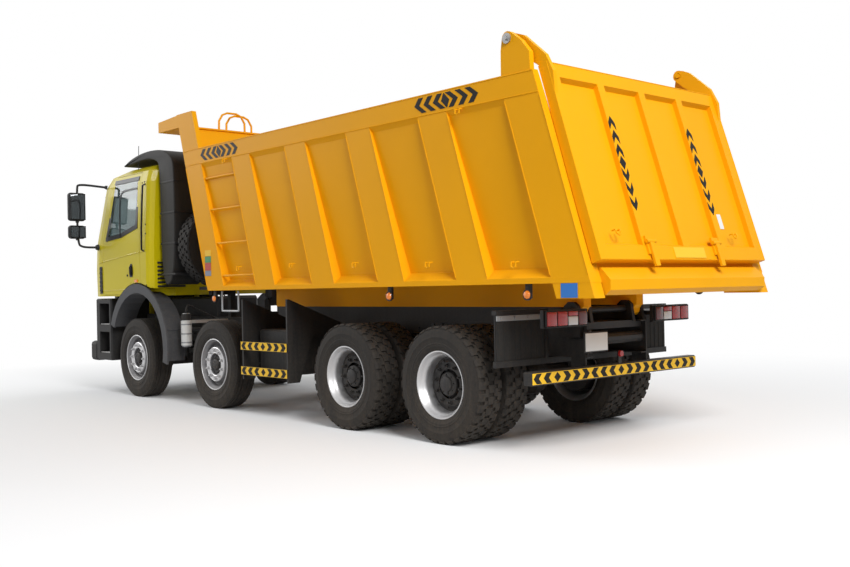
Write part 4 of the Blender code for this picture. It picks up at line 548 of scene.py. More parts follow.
class Shape:
    """Mesh in the making: primitives are added, shaped together, and finished as one piece."""

    def __init__(self) -> None:
        """Start with an empty mesh."""
        self.bm = bmesh.new()

    def box(self, x: Point2, y: Point2, z: Point2, bevel: float = 0.0, segments: int = 2) -> "Shape":
        """Add a box.

        Args:
            x: Its two X values.
            y: Its two Y values.
            z: Its two Z values.
            bevel: Radius of its edges, or 0.
            segments: Steps of the rounding.

        Returns:
            This shape.
        """
        made = bmesh.ops.create_cube(self.bm, size=1.0)["verts"]
        size = Vector((abs(x[1] - x[0]), abs(y[1] - y[0]), abs(z[1] - z[0])))
        middle = Vector(((x[0] + x[1]) / 2, (y[0] + y[1]) / 2, (z[0] + z[1]) / 2))
        bmesh.ops.scale(self.bm, vec=size, verts=made)
        bmesh.ops.translate(self.bm, vec=middle, verts=made)
        if bevel:
            edges = list({edge for vert in made for edge in vert.link_edges})
            bmesh.ops.bevel(self.bm, geom=edges, offset=bevel, segments=segments, profile=0.5,
                            affect="EDGES", material=-1)
        return self

    def rod(self, start: Sequence[float], end: Sequence[float], radius: float,
            end_radius: float | None = None, sides: int = 24) -> "Shape":
        """Add a closed cylinder or cone.

        Args:
            start: Centre of its first end.
            end: Centre of its other end.
            radius: Radius at the start.
            end_radius: Radius at the end, or None for the same.
            sides: Number of sides.

        Returns:
            This shape.
        """
        run = Vector(end) - Vector(start)
        turn = run.to_track_quat("Z", "Y").to_matrix().to_4x4()
        place = Matrix.Translation((Vector(start) + Vector(end)) / 2) @ turn
        bmesh.ops.create_cone(self.bm, cap_ends=True, segments=sides, radius1=radius,
                              radius2=radius if end_radius is None else end_radius,
                              depth=run.length, matrix=place)
        return self

    def ball(self, centre: Sequence[float], radius: float, flatten: float = 1.0) -> "Shape":
        """Add a sphere, flattened along Z.

        Args:
            centre: Its middle.
            radius: Its radius.
            flatten: Height over width.

        Returns:
            This shape.
        """
        place = Matrix.Translation(centre) @ Matrix.Diagonal((1.0, 1.0, flatten, 1.0))
        bmesh.ops.create_uvsphere(self.bm, u_segments=20, v_segments=12, radius=radius, matrix=place)
        return self

    def slab(self, outline: Sequence[Point2], axis: Axis, low: float, high: float) -> "Shape":
        """Add a flat outline carried along an axis.

        Args:
            outline: Points as (y, z) along X, (x, z) along Y or (x, y) along Z.
            axis: Direction of the thickness.
            low: Lower end along the axis.
            high: Upper end along the axis.

        Returns:
            This shape.
        """
        corners = [list(point) for point in outline]
        for corner in corners:
            corner.insert(axis.value, low)
        verts = [self.bm.verts.new(corner) for corner in corners]
        face = self.bm.faces.new(verts)
        grown = bmesh.ops.extrude_face_region(self.bm, geom=[face])["geom"]
        step = Vector((0.0, 0.0, 0.0))
        step[axis.value] = high - low
        moved = [item for item in grown if isinstance(item, bmesh.types.BMVert)]
        bmesh.ops.translate(self.bm, vec=step, verts=moved)
        return self

    def cushioned_slab(self, outline: Sequence[Point2], low: float, high: float, bevel: float) -> "Shape":
        """Add an (x, z) outline carried along Y, with both rims rounded.

        Args:
            outline: Ring of points.
            low: Its lower Y.
            high: Its upper Y.
            bevel: Radius of the rims.

        Returns:
            This shape.
        """
        before = set(self.bm.edges)
        self.slab(outline, Axis.Y, low, high)
        rims = [edge for edge in self.bm.edges if edge not in before
                and abs(edge.verts[0].co.y - edge.verts[1].co.y) < SAME_PLACE]
        bmesh.ops.bevel(self.bm, geom=rims, offset=bevel, segments=4, profile=0.5, affect="EDGES",
                        material=-1)
        return self

    def sheet(self, corners: Sequence[Sequence[float]], thickness: float) -> "Shape":
        """Add a flat plate on given corners, thickened along its own normal.

        Args:
            corners: Points in space, counter-clockwise seen from outside.
            thickness: How far the plate stands proud of the corners' plane.

        Returns:
            This shape.
        """
        verts = [self.bm.verts.new(corner) for corner in corners]
        face = self.bm.faces.new(verts)
        face.normal_update()
        normal = face.normal.copy()
        grown = bmesh.ops.extrude_face_region(self.bm, geom=[face])["geom"]
        moved = [item for item in grown if isinstance(item, bmesh.types.BMVert)]
        bmesh.ops.translate(self.bm, vec=normal * thickness, verts=moved)
        return self

    def turned(self, profile: Sequence[Point2], steps: int = 72) -> list[bmesh.types.BMFace]:
        """Add a profile of (radius, height) spun about the Y axis.

        Args:
            profile: Points from one end to the other.
            steps: Steps of the full turn.

        Returns:
            The spun faces.
        """
        before = set(self.bm.faces)
        verts = [self.bm.verts.new((radius, height, 0.0)) for radius, height in profile]
        edges = [self.bm.edges.new(pair) for pair in zip(verts, verts[1:])]
        bmesh.ops.spin(self.bm, geom=verts + edges, cent=(0, 0, 0), axis=(0, 1, 0),
                       angle=2 * math.pi, steps=steps, use_merge=True)
        return [one for one in self.bm.faces if one not in before]

    def spun(self, profile: Sequence[Point2], steps: int = 72) -> "Shape":
        """Add a spun profile and go on with the shape."""
        self.turned(profile, steps)
        return self

    def tube(self, points: Sequence[Sequence[float]], radius: float, sides: int = 10) -> "Shape":
        """Add a round bar that follows points.

        Args:
            points: Points along its middle.
            radius: Its radius.
            sides: Sides of its section.

        Returns:
            This shape.
        """
        places = [Vector(point) for point in points]
        ring: list[bmesh.types.BMVert] = []
        previous: list[bmesh.types.BMVert] = []
        guide = None
        for i, place in enumerate(places):
            ahead = places[min(i + 1, len(places) - 1)] - places[max(i - 1, 0)]
            ahead.normalize()
            if guide is None:
                guide = ahead.orthogonal().normalized()
            guide = (guide - ahead * guide.dot(ahead)).normalized()
            turn = Matrix((guide, ahead.cross(guide), ahead)).transposed().to_4x4()
            ring = bmesh.ops.create_circle(self.bm, cap_ends=i in (0, len(places) - 1), segments=sides,
                                           radius=radius, matrix=Matrix.Translation(place) @ turn)["verts"]
            if previous:
                lower = [self.bm.edges.get((a, b)) for a, b in zip(previous, previous[1:] + previous[:1])]
                upper = [self.bm.edges.get((a, b)) for a, b in zip(ring, ring[1:] + ring[:1])]
                bmesh.ops.bridge_loops(self.bm, edges=lower + upper)
            previous = ring
        return self

    def mirrored(self) -> "Shape":
        """Turn the shape into its own reflection across the truck's centre plane."""
        bmesh.ops.scale(self.bm, vec=(1.0, -1.0, 1.0), verts=self.bm.verts)
        bmesh.ops.reverse_faces(self.bm, faces=self.bm.faces)
        return self

    def moved(self, x: float = 0.0, y: float = 0.0, z: float = 0.0) -> "Shape":
        """Shift the whole shape."""
        bmesh.ops.translate(self.bm, vec=(x, y, z), verts=self.bm.verts)
        return self

    def rotated(self, angle: float, axis: str) -> "Shape":
        """Turn the whole shape about an axis through the origin."""
        bmesh.ops.rotate(self.bm, verts=self.bm.verts, matrix=Matrix.Rotation(angle, 3, axis))
        return self

    def mesh(self, name: str, smooth_angle: float = 32.0, tidy: bool = True) -> bpy.types.Mesh:
        """Close the shape into a mesh.

        Args:
            name: Mesh name.
            smooth_angle: Edges sharper than this many degrees stay sharp.
            tidy: Merge doubles and point the faces outwards first.

        Returns:
            The mesh.
        """
        if tidy:
            bmesh.ops.remove_doubles(self.bm, verts=self.bm.verts, dist=MERGE_DISTANCE)
            bmesh.ops.recalc_face_normals(self.bm, faces=self.bm.faces)
        made = bpy.data.meshes.new(name)
        self.bm.to_mesh(made)
        self.bm.free()
        made.shade_smooth()
        made.set_sharp_from_angle(angle=math.radians(smooth_angle))
        return made


class Workshop:
    """Turns shapes into finished pieces that ride on the CAD bodies."""

    def __init__(self, palette: Palette, frame: dict) -> None:
        """Keep the materials and the frame's nodes at hand."""
        self.palette = palette
        self.nodes = frame["nodes"]
        self.count = 0

    def place(self, mesh: bpy.types.Mesh, name: str, body: str, paint: Paint | bpy.types.Material,
              node: str | None = None) -> bpy.types.Object:
        """Add a mesh to the scene as a piece.

        Args:
            mesh: The piece's mesh, in place.
            name: Piece name.
            body: CAD body that it rides on.
            paint: Its finish or material.
            node: CAD node that it replaces, if any.

        Returns:
            The piece.
        """
        piece = bpy.data.objects.new(name, mesh)
        bpy.context.scene.collection.objects.link(piece)
        mesh.materials.clear()
        mesh.materials.append(self.palette.get(paint) if isinstance(paint, Paint) else paint)
        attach(piece, body)
        if node:
            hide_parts(node)
        self.count += 1
        LOG.info("piece %s on %s: %d faces", name, body, len(mesh.polygons))
        return piece

    def finish(self, shape: Shape, name: str, body: str, paint: Paint | bpy.types.Material,
               node: str | None = None, smooth_angle: float = 32.0) -> bpy.types.Object:
        """Close a shape and add it as a piece."""
        return self.place(shape.mesh(name, smooth_angle), name, body, paint, node)

    def dress(self, paint: Paint | bpy.types.Material, nodes: Iterable[str]) -> None:
        """Give CAD nodes a finish.

        Args:
            paint: The finish or material.
            nodes: Names of the nodes.
        """
        made = self.palette.get(paint) if isinstance(paint, Paint) else paint
        for name in nodes:
            mesh = self.nodes[name].data
            mesh.materials.clear()
            mesh.materials.append(made)
            LOG.info("node %s dressed in %s", name, made.name)


# The truck's own measures, as in the CAD model


FIRST_AXLE_X = 3.26
TYRE_RADIUS = 0.535
AXLE_Z = TYRE_RADIUS * math.cos(math.pi / 18)
AXLES = tuple(x + FIRST_AXLE_X for x in (0.0, -2.05, -4.72, -6.1))
LEAN = math.tan(math.radians(17.5))
BED_BOTTOM_Z = 1.41
BED_SIDE_Y = 1.27
SPARE_PLACE = (-1.19, 0.56, 1.99)


def local(x: float) -> float:
    """World X of a distance ahead of the first axle."""
    return x + FIRST_AXLE_X


def span(rear: float, front: float) -> Point2:
    """World X of two distances ahead of the first axle."""
    return (local(rear), local(front))


def leaned(x: float, z: float) -> float:
    """World X of a point of the leaning body, x being where its bottom is, from the first axle."""
    return local(x) + LEAN * (z - BED_BOTTOM_Z)


# Wheels


@dataclass
class TyreMaker:
    """Tyre with a rounded section and a block or rib tread, built about its own centre."""

    radius: float = 0.527
    bead_radius: float = 0.3
    half_width: float = 0.15
    tread_half: float = 0.122
    steps: int = 96
    depth: float = 0.015
    sidewall: tuple[Point2, ...] = (
        (-0.008, -0.05), (0.004, -0.03), (0.022, -0.017), (0.04, -0.011), (0.046, -0.006),
        (0.062, -0.005), (0.066, -0.002), (0.074, -0.002), (0.078, -0.005), (0.095, -0.003),
        (0.124, -0.001), (0.128, 0.001), (0.133, -0.001), (0.16, -0.004),
    )
    shoulder: tuple[Point2, ...] = ((-0.03, -0.01), (-0.012, -0.016))
    grooves: tuple[float, ...] = (0.0, 0.04, 0.046, 0.083, 0.089)
    least_area: float = 0.0005
    shoulder_drop: float = 0.013
    shoulder_grow: float = 0.01
    shoulder_spread: float = 1.04
    block_pitch: int = 3
    rows: Point2 = (0.05, 0.1)
    slack: float = 0.002

    @property
    def base(self) -> float:
        """Radius at the bottom of the tread."""
        return self.radius - self.depth

    def section(self) -> list[Point2]:
        """Half-open section from the outboard bead to the inboard bead.

        Returns:
            Points as (radius, height).
        """
        half = [(self.bead_radius + up, self.half_width + out) for up, out in self.sidewall]
        half += [(self.base + up, self.half_width + out) for up, out in self.shoulder]
        half += [(self.base, self.tread_half - inward) for inward in self.grooves]
        return half + [(radius, -height) for radius, height in reversed(half)]

    def _stands_out(self, face: bmesh.types.BMFace, blocks: bool) -> bool:
        """Tell whether a face of the section is a rib or block of the tread.

        Args:
            face: Face of the spun section.
            blocks: Whether the ribs are cut into blocks.

        Returns:
            True where the face is raised.
        """
        middle = face.calc_center_median()
        step = 2 * math.pi / self.steps
        turn = int((math.atan2(middle.z, middle.x) % (2 * math.pi)) / step)
        height = abs(middle.y)
        level = all(abs(math.hypot(vert.co.x, vert.co.z) - self.base) < self.slack / 2
                    for vert in face.verts)
        if level and face.calc_area() > self.least_area:
            inner, outer = self.rows
            shift = 1 if height > outer else (2 if height > inner else 0)
            return not blocks or bool((turn + shift) % self.block_pitch)
        on_shoulder = self.base - self.shoulder_drop < math.hypot(middle.x, middle.z) < self.base
        return blocks and on_shoulder and bool((turn + 1) % self.block_pitch)

    def make(self, blocks: bool) -> Shape:
        """Spin the tyre and raise its tread.

        Args:
            blocks: Cut the ribs into staggered blocks, as on the driven wheels.

        Returns:
            The tyre's shape.
        """
        shape = Shape()
        faces = shape.turned(self.section(), self.steps)
        raised = [face for face in faces if self._stands_out(face, blocks)]
        grown = bmesh.ops.extrude_face_region(shape.bm, geom=raised)["geom"]
        verts = [item for item in grown if isinstance(item, bmesh.types.BMVert)]
        bmesh.ops.delete(shape.bm, geom=raised, context="FACES_ONLY")
        for vert in verts:
            radial = math.hypot(vert.co.x, vert.co.z)
            on_tread = radial > self.base - self.slack
            grow = self.depth if on_tread else self.shoulder_grow
            scale = min(radial + grow, self.radius) / radial
            vert.co.x *= scale
            vert.co.z *= scale
            if radial < self.base - self.slack:
                vert.co.y *= self.shoulder_spread
        return shape


@dataclass
class RimMaker:
    """Pressed steel rims with their hubs, discs and nuts, built about the tyre's centre."""

    well_radius: float = 0.262
    half_width: float = 0.128
    nuts: int = 10
    nut_circle: float = 0.168
    bosses: int = 10
    boss_circle: float = 0.211

    def steered(self) -> Shape:
        """Spin the rim of a steered wheel, whose disc stands out.

        Returns:
            The rim's shape.
        """
        well = self.well_radius
        return Shape().spun([
            (0.086, 0.06), (0.128, 0.066), (0.136, 0.1), (0.145, 0.106), (0.192, 0.106),
            (0.204, 0.1), (0.222, 0.07), (0.24, 0.04), (0.248, 0.036), (well - 0.004, 0.048),
            (well, 0.08), (well + 0.012, 0.1), (0.284, 0.108), (0.29, 0.122), (0.298, 0.129),
            (0.305, 0.128), (0.307, 0.12), (0.3, 0.106), (0.286, 0.095), (0.276, 0.06),
            (0.276, -0.06), (0.286, -0.095), (0.3, -0.106), (0.306, -0.12), (0.302, -0.128),
            (0.292, -0.126), (0.284, -0.108), (0.262, -0.09), (0.258, 0.02), (0.236, 0.026),
            (0.214, 0.06), (0.196, 0.094), (0.14, 0.094), (0.13, 0.06), (0.086, 0.052),
            (0.086, 0.06),
        ])

    def driven(self) -> Shape:
        """Spin the outer rim of a driven pair, deep dished.

        Returns:
            The rim's shape.
        """
        return Shape().spun([
            (0.243, -0.096), (0.248, -0.06), (0.25, 0.04), (0.255, 0.066), (0.268, 0.084),
            (0.282, 0.1), (0.288, 0.12), (0.297, 0.129), (0.305, 0.128), (0.307, 0.12),
            (0.3, 0.106), (0.29, 0.09), (0.276, 0.06), (0.274, -0.06), (0.29, -0.1),
            (0.306, -0.118), (0.3, -0.128), (0.286, -0.118), (0.262, -0.1), (0.243, -0.104),
            (0.243, -0.096),
        ])

    def disc(self) -> Shape:
        """Spin the disc in the bottom of the dish, with a ring of small round bosses. The dark hub finish
        that it takes is painted shade of the deep dish.

        Returns:
            The disc's shape.
        """
        shape = Shape().spun([
            (0.134, -0.072), (0.176, -0.072), (0.2, -0.076), (0.214, -0.092), (0.23, -0.1),
            (0.2495, -0.098), (0.2495, -0.108), (0.226, -0.112), (0.206, -0.104), (0.192, -0.086),
            (0.134, -0.082), (0.134, -0.072),
        ])
        for x, z in round_about(self.bosses, self.boss_circle, 0.5):
            shape.rod((x, -0.1, z), (x, -0.082, z), 0.015, 0.013, sides=20)
        return shape

    def trim_ring(self) -> Shape:
        """Spin the bright ring round the wheel nuts of a steered wheel.

        Returns:
            The ring's shape.
        """
        return Shape().spun([
            (0.128, 0.1), (0.13, 0.11), (0.138, 0.115), (0.148, 0.112), (0.186, 0.112),
            (0.196, 0.116), (0.206, 0.11), (0.209, 0.098), (0.204, 0.094), (0.132, 0.094),
            (0.128, 0.1),
        ])

    def flange(self) -> Shape:
        """Spin the rolled edge of a rim's outer flange. On a steered rim its silver is the lit copy of the
        same steel, whose rest is painted shade in dull grey.

        Returns:
            The edge's shape.
        """
        turns = [k * math.pi / 4 for k in range(9)]
        edge = self.half_width - 0.002
        return Shape().spun([(0.301 + 0.0075 * math.cos(turn), edge + 0.0055 * math.sin(turn))
                             for turn in turns], 96)

    def inner(self) -> Shape:
        """Spin the inner rim of a driven pair, seen from inboard.

        Returns:
            The rim's shape.
        """
        return Shape().spun([
            (0.134, 0.13), (0.206, 0.128), (0.236, 0.096), (0.25, 0.06), (0.252, -0.06),
            (0.268, -0.1), (0.29, -0.124), (0.304, -0.128), (0.306, -0.118), (0.286, -0.095),
            (0.274, -0.06), (0.274, 0.08), (0.29, 0.11), (0.304, 0.124), (0.288, 0.124),
            (0.262, 0.1), (0.24, 0.112), (0.214, 0.138), (0.134, 0.142), (0.134, 0.13),
        ])

    def bolts(self, height: float, reach: float) -> Shape:
        """Set a ring of wheel nuts on their studs.

        Args:
            height: Where the nuts sit along the axle.
            reach: How far the studs stand out.

        Returns:
            The ring's shape.
        """
        shape = Shape()
        for x, z in round_about(self.nuts, self.nut_circle):
            shape.rod((x, height - 0.001, z), (x, height + 0.004, z), 0.021, sides=16)
            shape.rod((x, height + 0.002, z), (x, height + 0.024, z), 0.017, 0.016, sides=6)
            shape.rod((x, height + 0.02, z), (x, height + reach, z), 0.0095, 0.0085, sides=10)
        return shape

    def steer_hub(self) -> Shape:
        """Spin the raised hub of a steered wheel with its cap, and the drum behind the disc.

        Returns:
            The hub's shape.
        """
        shape = Shape()
        shape.spun([
            (0.0, 0.118), (0.05, 0.118), (0.062, 0.112), (0.07, 0.085), (0.082, 0.08),
            (0.088, 0.07), (0.12, 0.064), (0.122, 0.03), (0.15, -0.005), (0.204, -0.012),
            (0.204, -0.108), (0.062, -0.108), (0.062, 0.018), (0.0, 0.018),
        ], 48)
        shape.spun([
            (0.078, 0.088), (0.094, 0.09), (0.098, 0.082), (0.094, 0.07), (0.078, 0.07),
            (0.078, 0.088),
        ], 48)
        for x, z in round_about(6, 0.036):
            shape.rod((x, 0.112, z), (x, 0.122, z), 0.006, sides=6)
        return shape

    def drive_hub(self) -> Shape:
        """Spin the planetary hub in the bottom of the dish, and the drum inboard of it.

        Returns:
            The hub's shape.
        """
        shape = Shape()
        shape.spun([
            (0.0, 0.148), (0.058, 0.148), (0.068, 0.142), (0.072, 0.126), (0.096, 0.12),
            (0.108, 0.108), (0.112, 0.05), (0.13, 0.044), (0.132, 0.01), (0.204, -0.05),
            (0.204, -0.378), (0.082, -0.378), (0.082, 0.0), (0.0, 0.0),
        ], 48)
        for x, z in round_about(8, 0.084):
            shape.rod((x, 0.118, z), (x, 0.132, z), 0.008, sides=6)
        return shape


@dataclass
class Wheels:
    """All road wheels and the spare, as dressed pieces."""

    shop: Workshop
    steer_track: float = 1.03
    twin_track: float = 0.923
    twin_half: float = 0.168
    twin_turn: float = 0.07
    disc_out: float = 0.08
    steered_axles: int = 2
    axle_turn: float = 0.37
    left_turn: float = 0.2
    tyres: TyreMaker = field(default_factory=TyreMaker)
    rims: RimMaker = field(default_factory=RimMaker)

    def build(self) -> None:
        """Build one wheel of each kind and place its copies."""
        rims, outer = self.rims, self.twin_half
        deep = outer + self.disc_out
        steer = {
            ("tyre", Paint.TYRE): self.tyres.make(False).mesh("steer_tyre"),
            # The steered rim's dull grey is painted shade of the rim well; its flange keeps the rims' own
            # silver.
            ("rim", Paint.RIM_GREY): rims.steered().mesh("steer_rim"),
            ("flange", Paint.RIM): rims.flange().mesh("steer_flange"),
            ("ring", Paint.RIM): rims.trim_ring().mesh("steer_ring"),
            ("nuts", Paint.RIM): rims.bolts(0.111, 0.036).mesh("steer_nuts"),
            ("hub", Paint.HUB): rims.steer_hub().mesh("steer_hub"),
        }
        drive = {
            ("tyre", Paint.TYRE): self._twin_tyres().mesh("drive_tyre"),
            ("rim", Paint.RIM): rims.driven().moved(y=outer).mesh("drive_rim"),
            ("inner_rim", Paint.RIM): rims.inner().moved(y=-outer).mesh("drive_inner_rim"),
            # The disc takes the dark hub finish as painted shade of the deep dish.
            ("disc", Paint.HUB): rims.disc().moved(y=deep).mesh("drive_disc"),
            ("nuts", Paint.HUB): rims.bolts(deep - 0.073, 0.045).mesh("drive_nuts"),
            ("hub", Paint.HUB): rims.drive_hub().moved(y=self.disc_out).mesh("drive_hub"),
        }
        for number, x in enumerate(AXLES, start=1):
            steered = number <= self.steered_axles
            kind, track = (steer, self.steer_track) if steered else (drive, self.twin_track)
            for side in Side:
                self._copies(kind, number, side, (x, side.value * track, AXLE_Z))
        for mesh in list(steer.values()) + list(drive.values()):
            bpy.data.meshes.remove(mesh)

    def _copies(self, kind: dict[tuple[str, Paint], bpy.types.Mesh], number: int, side: Side,
                place: Point3) -> None:
        """Place a copy of each piece of one wheel.

        Args:
            kind: Piece names and finishes, with their meshes.
            number: Axle number.
            side: Left or right.
            place: The wheel's centre.
        """
        wheel = f"wheel_{number}_{side.label}"
        turn = self.axle_turn * number + (self.left_turn if side is Side.LEFT else 0.0)
        for (part, paint), mesh in kind.items():
            shape = Shape()
            shape.bm.from_mesh(mesh)
            shape.rotated(turn, "Y")
            if side is Side.RIGHT:
                shape.mirrored()
            copy = shape.moved(*place).mesh(f"{wheel}_{part}", tidy=False)
            self.shop.place(copy, f"{wheel}_{part}", wheel, paint, wheel if part == "tyre" else None)

    def _twin_tyres(self) -> Shape:
        """Set two block-tread tyres side by side.

        Returns:
            The pair's shape.
        """
        shape = self.tyres.make(True)
        other = self.tyres.make(True).rotated(self.twin_turn, "Y").moved(y=-self.twin_half)
        shape.moved(y=self.twin_half)
        mesh = other.mesh("second_tyre")
        shape.bm.from_mesh(mesh)
        bpy.data.meshes.remove(mesh)
        return shape

    def spare(self, x: float, y: float, z: float) -> None:
        """Dress the spare wheel behind the cab.

        Args:
            x: World X of its centre.
            y: World Y of its centre.
            z: Height of its centre.
        """
        for part, paint, shape in (
            ("tyre", Paint.TYRE, self.tyres.make(True)),
            # The spare's rim takes the same dull grey painted shade, and its disc the dark hub finish as
            # painted shade of the dish.
            ("rim", Paint.RIM_GREY, self.rims.driven()),
            ("disc", Paint.HUB, self.rims.disc()),
        ):
            shape.rotated(-math.pi / 2, "Z").moved(x, y, z)
            self.shop.finish(shape, f"spare_{part}", "chassis", paint,
                             "spare_wheel" if part == "tyre" else None)


# Tipping body


@dataclass
class TippingBody:
    """Finish, markings and fittings of the tipping body."""

    shop: Workshop
    rail_z: Point2 = (2.945, 3.105)
    rail_edge: float = 0.012
    mark_rows: tuple[Point2, ...] = ((1.235, 0.345), (-2.64, -3.5))
    post_x: float = -7.67
    posts: int = 6
    pitch: float = 1.07
    rib_width: float = 0.38
    rib_z: Point2 = (1.475, 2.905)
    lip_z: Point2 = (2.932, 3.112)
    lip_x: Point2 = (-2.135, -7.855)
    hooks: tuple[Point2, ...] = (
        (0.4, 1.655), (-0.66, 1.655), (-1.735, 1.63), (-2.8, 1.6), (-3.84, 1.57),
        (0.66, 2.9), (-3.22, 2.9),
    )
    hook_out: float = 0.03
    hook_bend: tuple[Point3, ...] = (
        (-0.026, -0.3, 0.02), (-0.026, 1.0, 0.018), (-0.024, 1.0, -0.018), (0.0, 1.0, -0.03),
        (0.024, 1.0, -0.018), (0.026, 1.0, 0.018), (0.026, -0.3, 0.02),
    )
    side_lamps: tuple[Point2, ...] = ((1.03, 1.315), (-2.19, 1.322), (-3.93, 1.322))
    side_lamp_y: float = 1.236
    labels_x: Point2 = (1.04, 1.175)
    labels: tuple[tuple[Paint, float, float], ...] = (
        (Paint.MARK_YELLOW, 1.82, 1.89), (Paint.SIGN_GREEN, 1.742, 1.815),
        (Paint.SIGN_RED, 1.65, 1.738), (Paint.SIGN_GREY, 1.585, 1.646),
    )
    rear_label: tuple[Point2, Point2] = ((-4.475, -4.31), (1.296, 1.408))
    wear_plates: int = 5
    wear_start: float = -4.2
    wear_pitch: float = 1.05
    wear_gap: float = 0.02
    gate_pin: Point2 = (-3.79, 3.415)

    def build(self) -> None:
        """Dress the body's nodes and add everything that sits on it."""
        self.shop.dress(Paint.BODY, ("bed_floor", "bed_side_left", "bed_side_right", "bed_front_wall"))
        for side in Side:
            self._rail_marks(side)
            self._hooks(side)
            self._seams(side)
            self._lamps(side)
        self._labels()
        self._inside()
        self._hinge_ends()

    def _rail_marks(self, side: Side) -> None:
        """Chevron rows at both ends of the top rail, each pointing both ways from a diamond.

        Args:
            side: Left or right.
        """
        dark = Shape()
        low, high = self.rail_z
        middle, half = (low + high) / 2, (high - low) / 2 - self.rail_edge
        y = side.value * BED_SIDE_Y
        for front, rear in self.mark_rows:
            step, centre = (front - rear) / 7, (front + rear) / 2
            marks: list[list[Point2]] = []
            for i in (-3, -2, -1, 1, 2, 3):
                way = 1 if i > 0 else -1
                tip = centre + i * step + way * step * 0.3
                marks += reversed(chevron(tip, way, step * 0.62, step * 0.52, half))
            marks.append(diamond(centre, step * 0.42, half))
            for outline in marks:
                corners = [(x + LEAN * (middle + rise - low), y, middle + rise) for x, rise in outline]
                dark.sheet(facing(corners, side.out), MARK_THICKNESS)
        self.shop.finish(dark, f"rail_chevrons_{side.label}", "bed", Paint.MARK_BLACK)

    def _hooks(self, side: Side) -> None:
        """Small bent rope hooks along the bottom and under the top rail.

        Args:
            side: Left or right.
        """
        shape = Shape()
        for x, z in self.hooks:
            shape.tube([(x + dx, side.value * (BED_SIDE_Y + self.hook_out * share), z + dz)
                        for dx, share, dz in self.hook_bend], 0.0065, 8)
        self.shop.finish(shape, f"rope_hooks_{side.label}", "bed", Paint.BODY)

    def _seams(self, side: Side) -> None:
        """Weld beads along the posts and a rolled lip along the top rail.

        Args:
            side: Left or right.
        """
        shape = Shape()
        y = side.value * (BED_SIDE_Y - 0.001)
        low, high = self.rib_z
        heights = [low + k * (high - low) / 5 for k in range(6)]
        for i in range(self.posts):
            for edge in (-1, 1):
                x = self.post_x + i * self.pitch + edge * (self.rib_width / 2 - 0.001)
                shape.tube([(leaned(x, z), y, z) for z in heights], 0.0042, 6)
        for z in self.lip_z:
            front, rear = (leaned(x, z) for x in self.lip_x)
            shape.tube([(front, y, z), ((front + rear) / 2, y, z), (rear, y, z)], 0.005, 6)
        self.shop.finish(shape, f"weld_beads_{side.label}", "bed", Paint.BODY)

    def _lamps(self, side: Side) -> None:
        """Round amber side lamps on tabs below the body.

        Args:
            side: Left or right.
        """
        lenses, holders = Shape(), Shape()
        y = self.side_lamp_y
        for x, z in self.side_lamps:
            holders.box((x - 0.03, x + 0.03), side.band(y - 0.03, y - 0.004), (z - 0.03, 1.418), 0.004)
            for shape, y0, y1, radius, end in (
                (holders, -0.01, 0.006, 0.046, 0.046),
                (lenses, 0.004, 0.018, 0.036, 0.028),
                (lenses, 0.017, 0.023, 0.028, 0.012),
            ):
                near, far = side.band(y + y0, y + y1)
                shape.rod((x, near, z), (x, far, z), radius, end, sides=28)
        self.shop.finish(holders, f"side_lamp_holders_{side.label}", "bed", Paint.PLASTIC)
        self.shop.finish(lenses, f"side_lamp_lenses_{side.label}", "bed", Paint.LENS_AMBER)

    def _label(self, name: str, paint: Paint, x: Point2, z: Point2) -> None:
        """Blank coloured block on the left face of a post.

        Args:
            name: Piece name.
            paint: Its finish.
            x: Its two X values.
            z: Its two Z values.
        """
        corners = [(x[0], BED_SIDE_Y, z[0]), (x[1], BED_SIDE_Y, z[0]), (x[1], BED_SIDE_Y, z[1]),
                   (x[0], BED_SIDE_Y, z[1])]
        shape = Shape().sheet(facing(corners, Side.LEFT.out), MARK_THICKNESS)
        self.shop.finish(shape, name, "bed", paint)

    def _labels(self) -> None:
        """Blank coloured blocks on the front post's foot and on the rear post."""
        for i, (paint, low, high) in enumerate(self.labels, start=1):
            self._label(f"post_label_{i}", paint, self.labels_x, (low, high))
        self._label("rear_post_label", Paint.SIGN_BLUE, *self.rear_label)

    def _inside(self) -> None:
        """Wear plates on the body's floor."""
        shape = Shape()
        for i in range(self.wear_plates):
            x = self.wear_start + i * self.wear_pitch
            shape.box((x, x + self.wear_pitch - self.wear_gap), (-1.118, 1.118), (1.5002, 1.506), 0.002, 1)
        self.shop.finish(shape, "floor_wear_plates", "bed", Paint.BODY_INSIDE)

    def _hinge_ends(self) -> None:
        """Bosses and nuts on the ends of the tailgate's pins."""
        shape = Shape()
        x, z = self.gate_pin
        for side in Side:
            y = side.value * (BED_SIDE_Y - 0.004)
            shape.rod((x, y, z), (x, y + side.value * 0.012, z), 0.044, sides=28)
            shape.rod((x, y, z), (x, y + side.value * 0.03, z), 0.02, sides=6)
        self.shop.finish(shape, "tailgate_pin_nuts", "bed", Paint.STEEL)


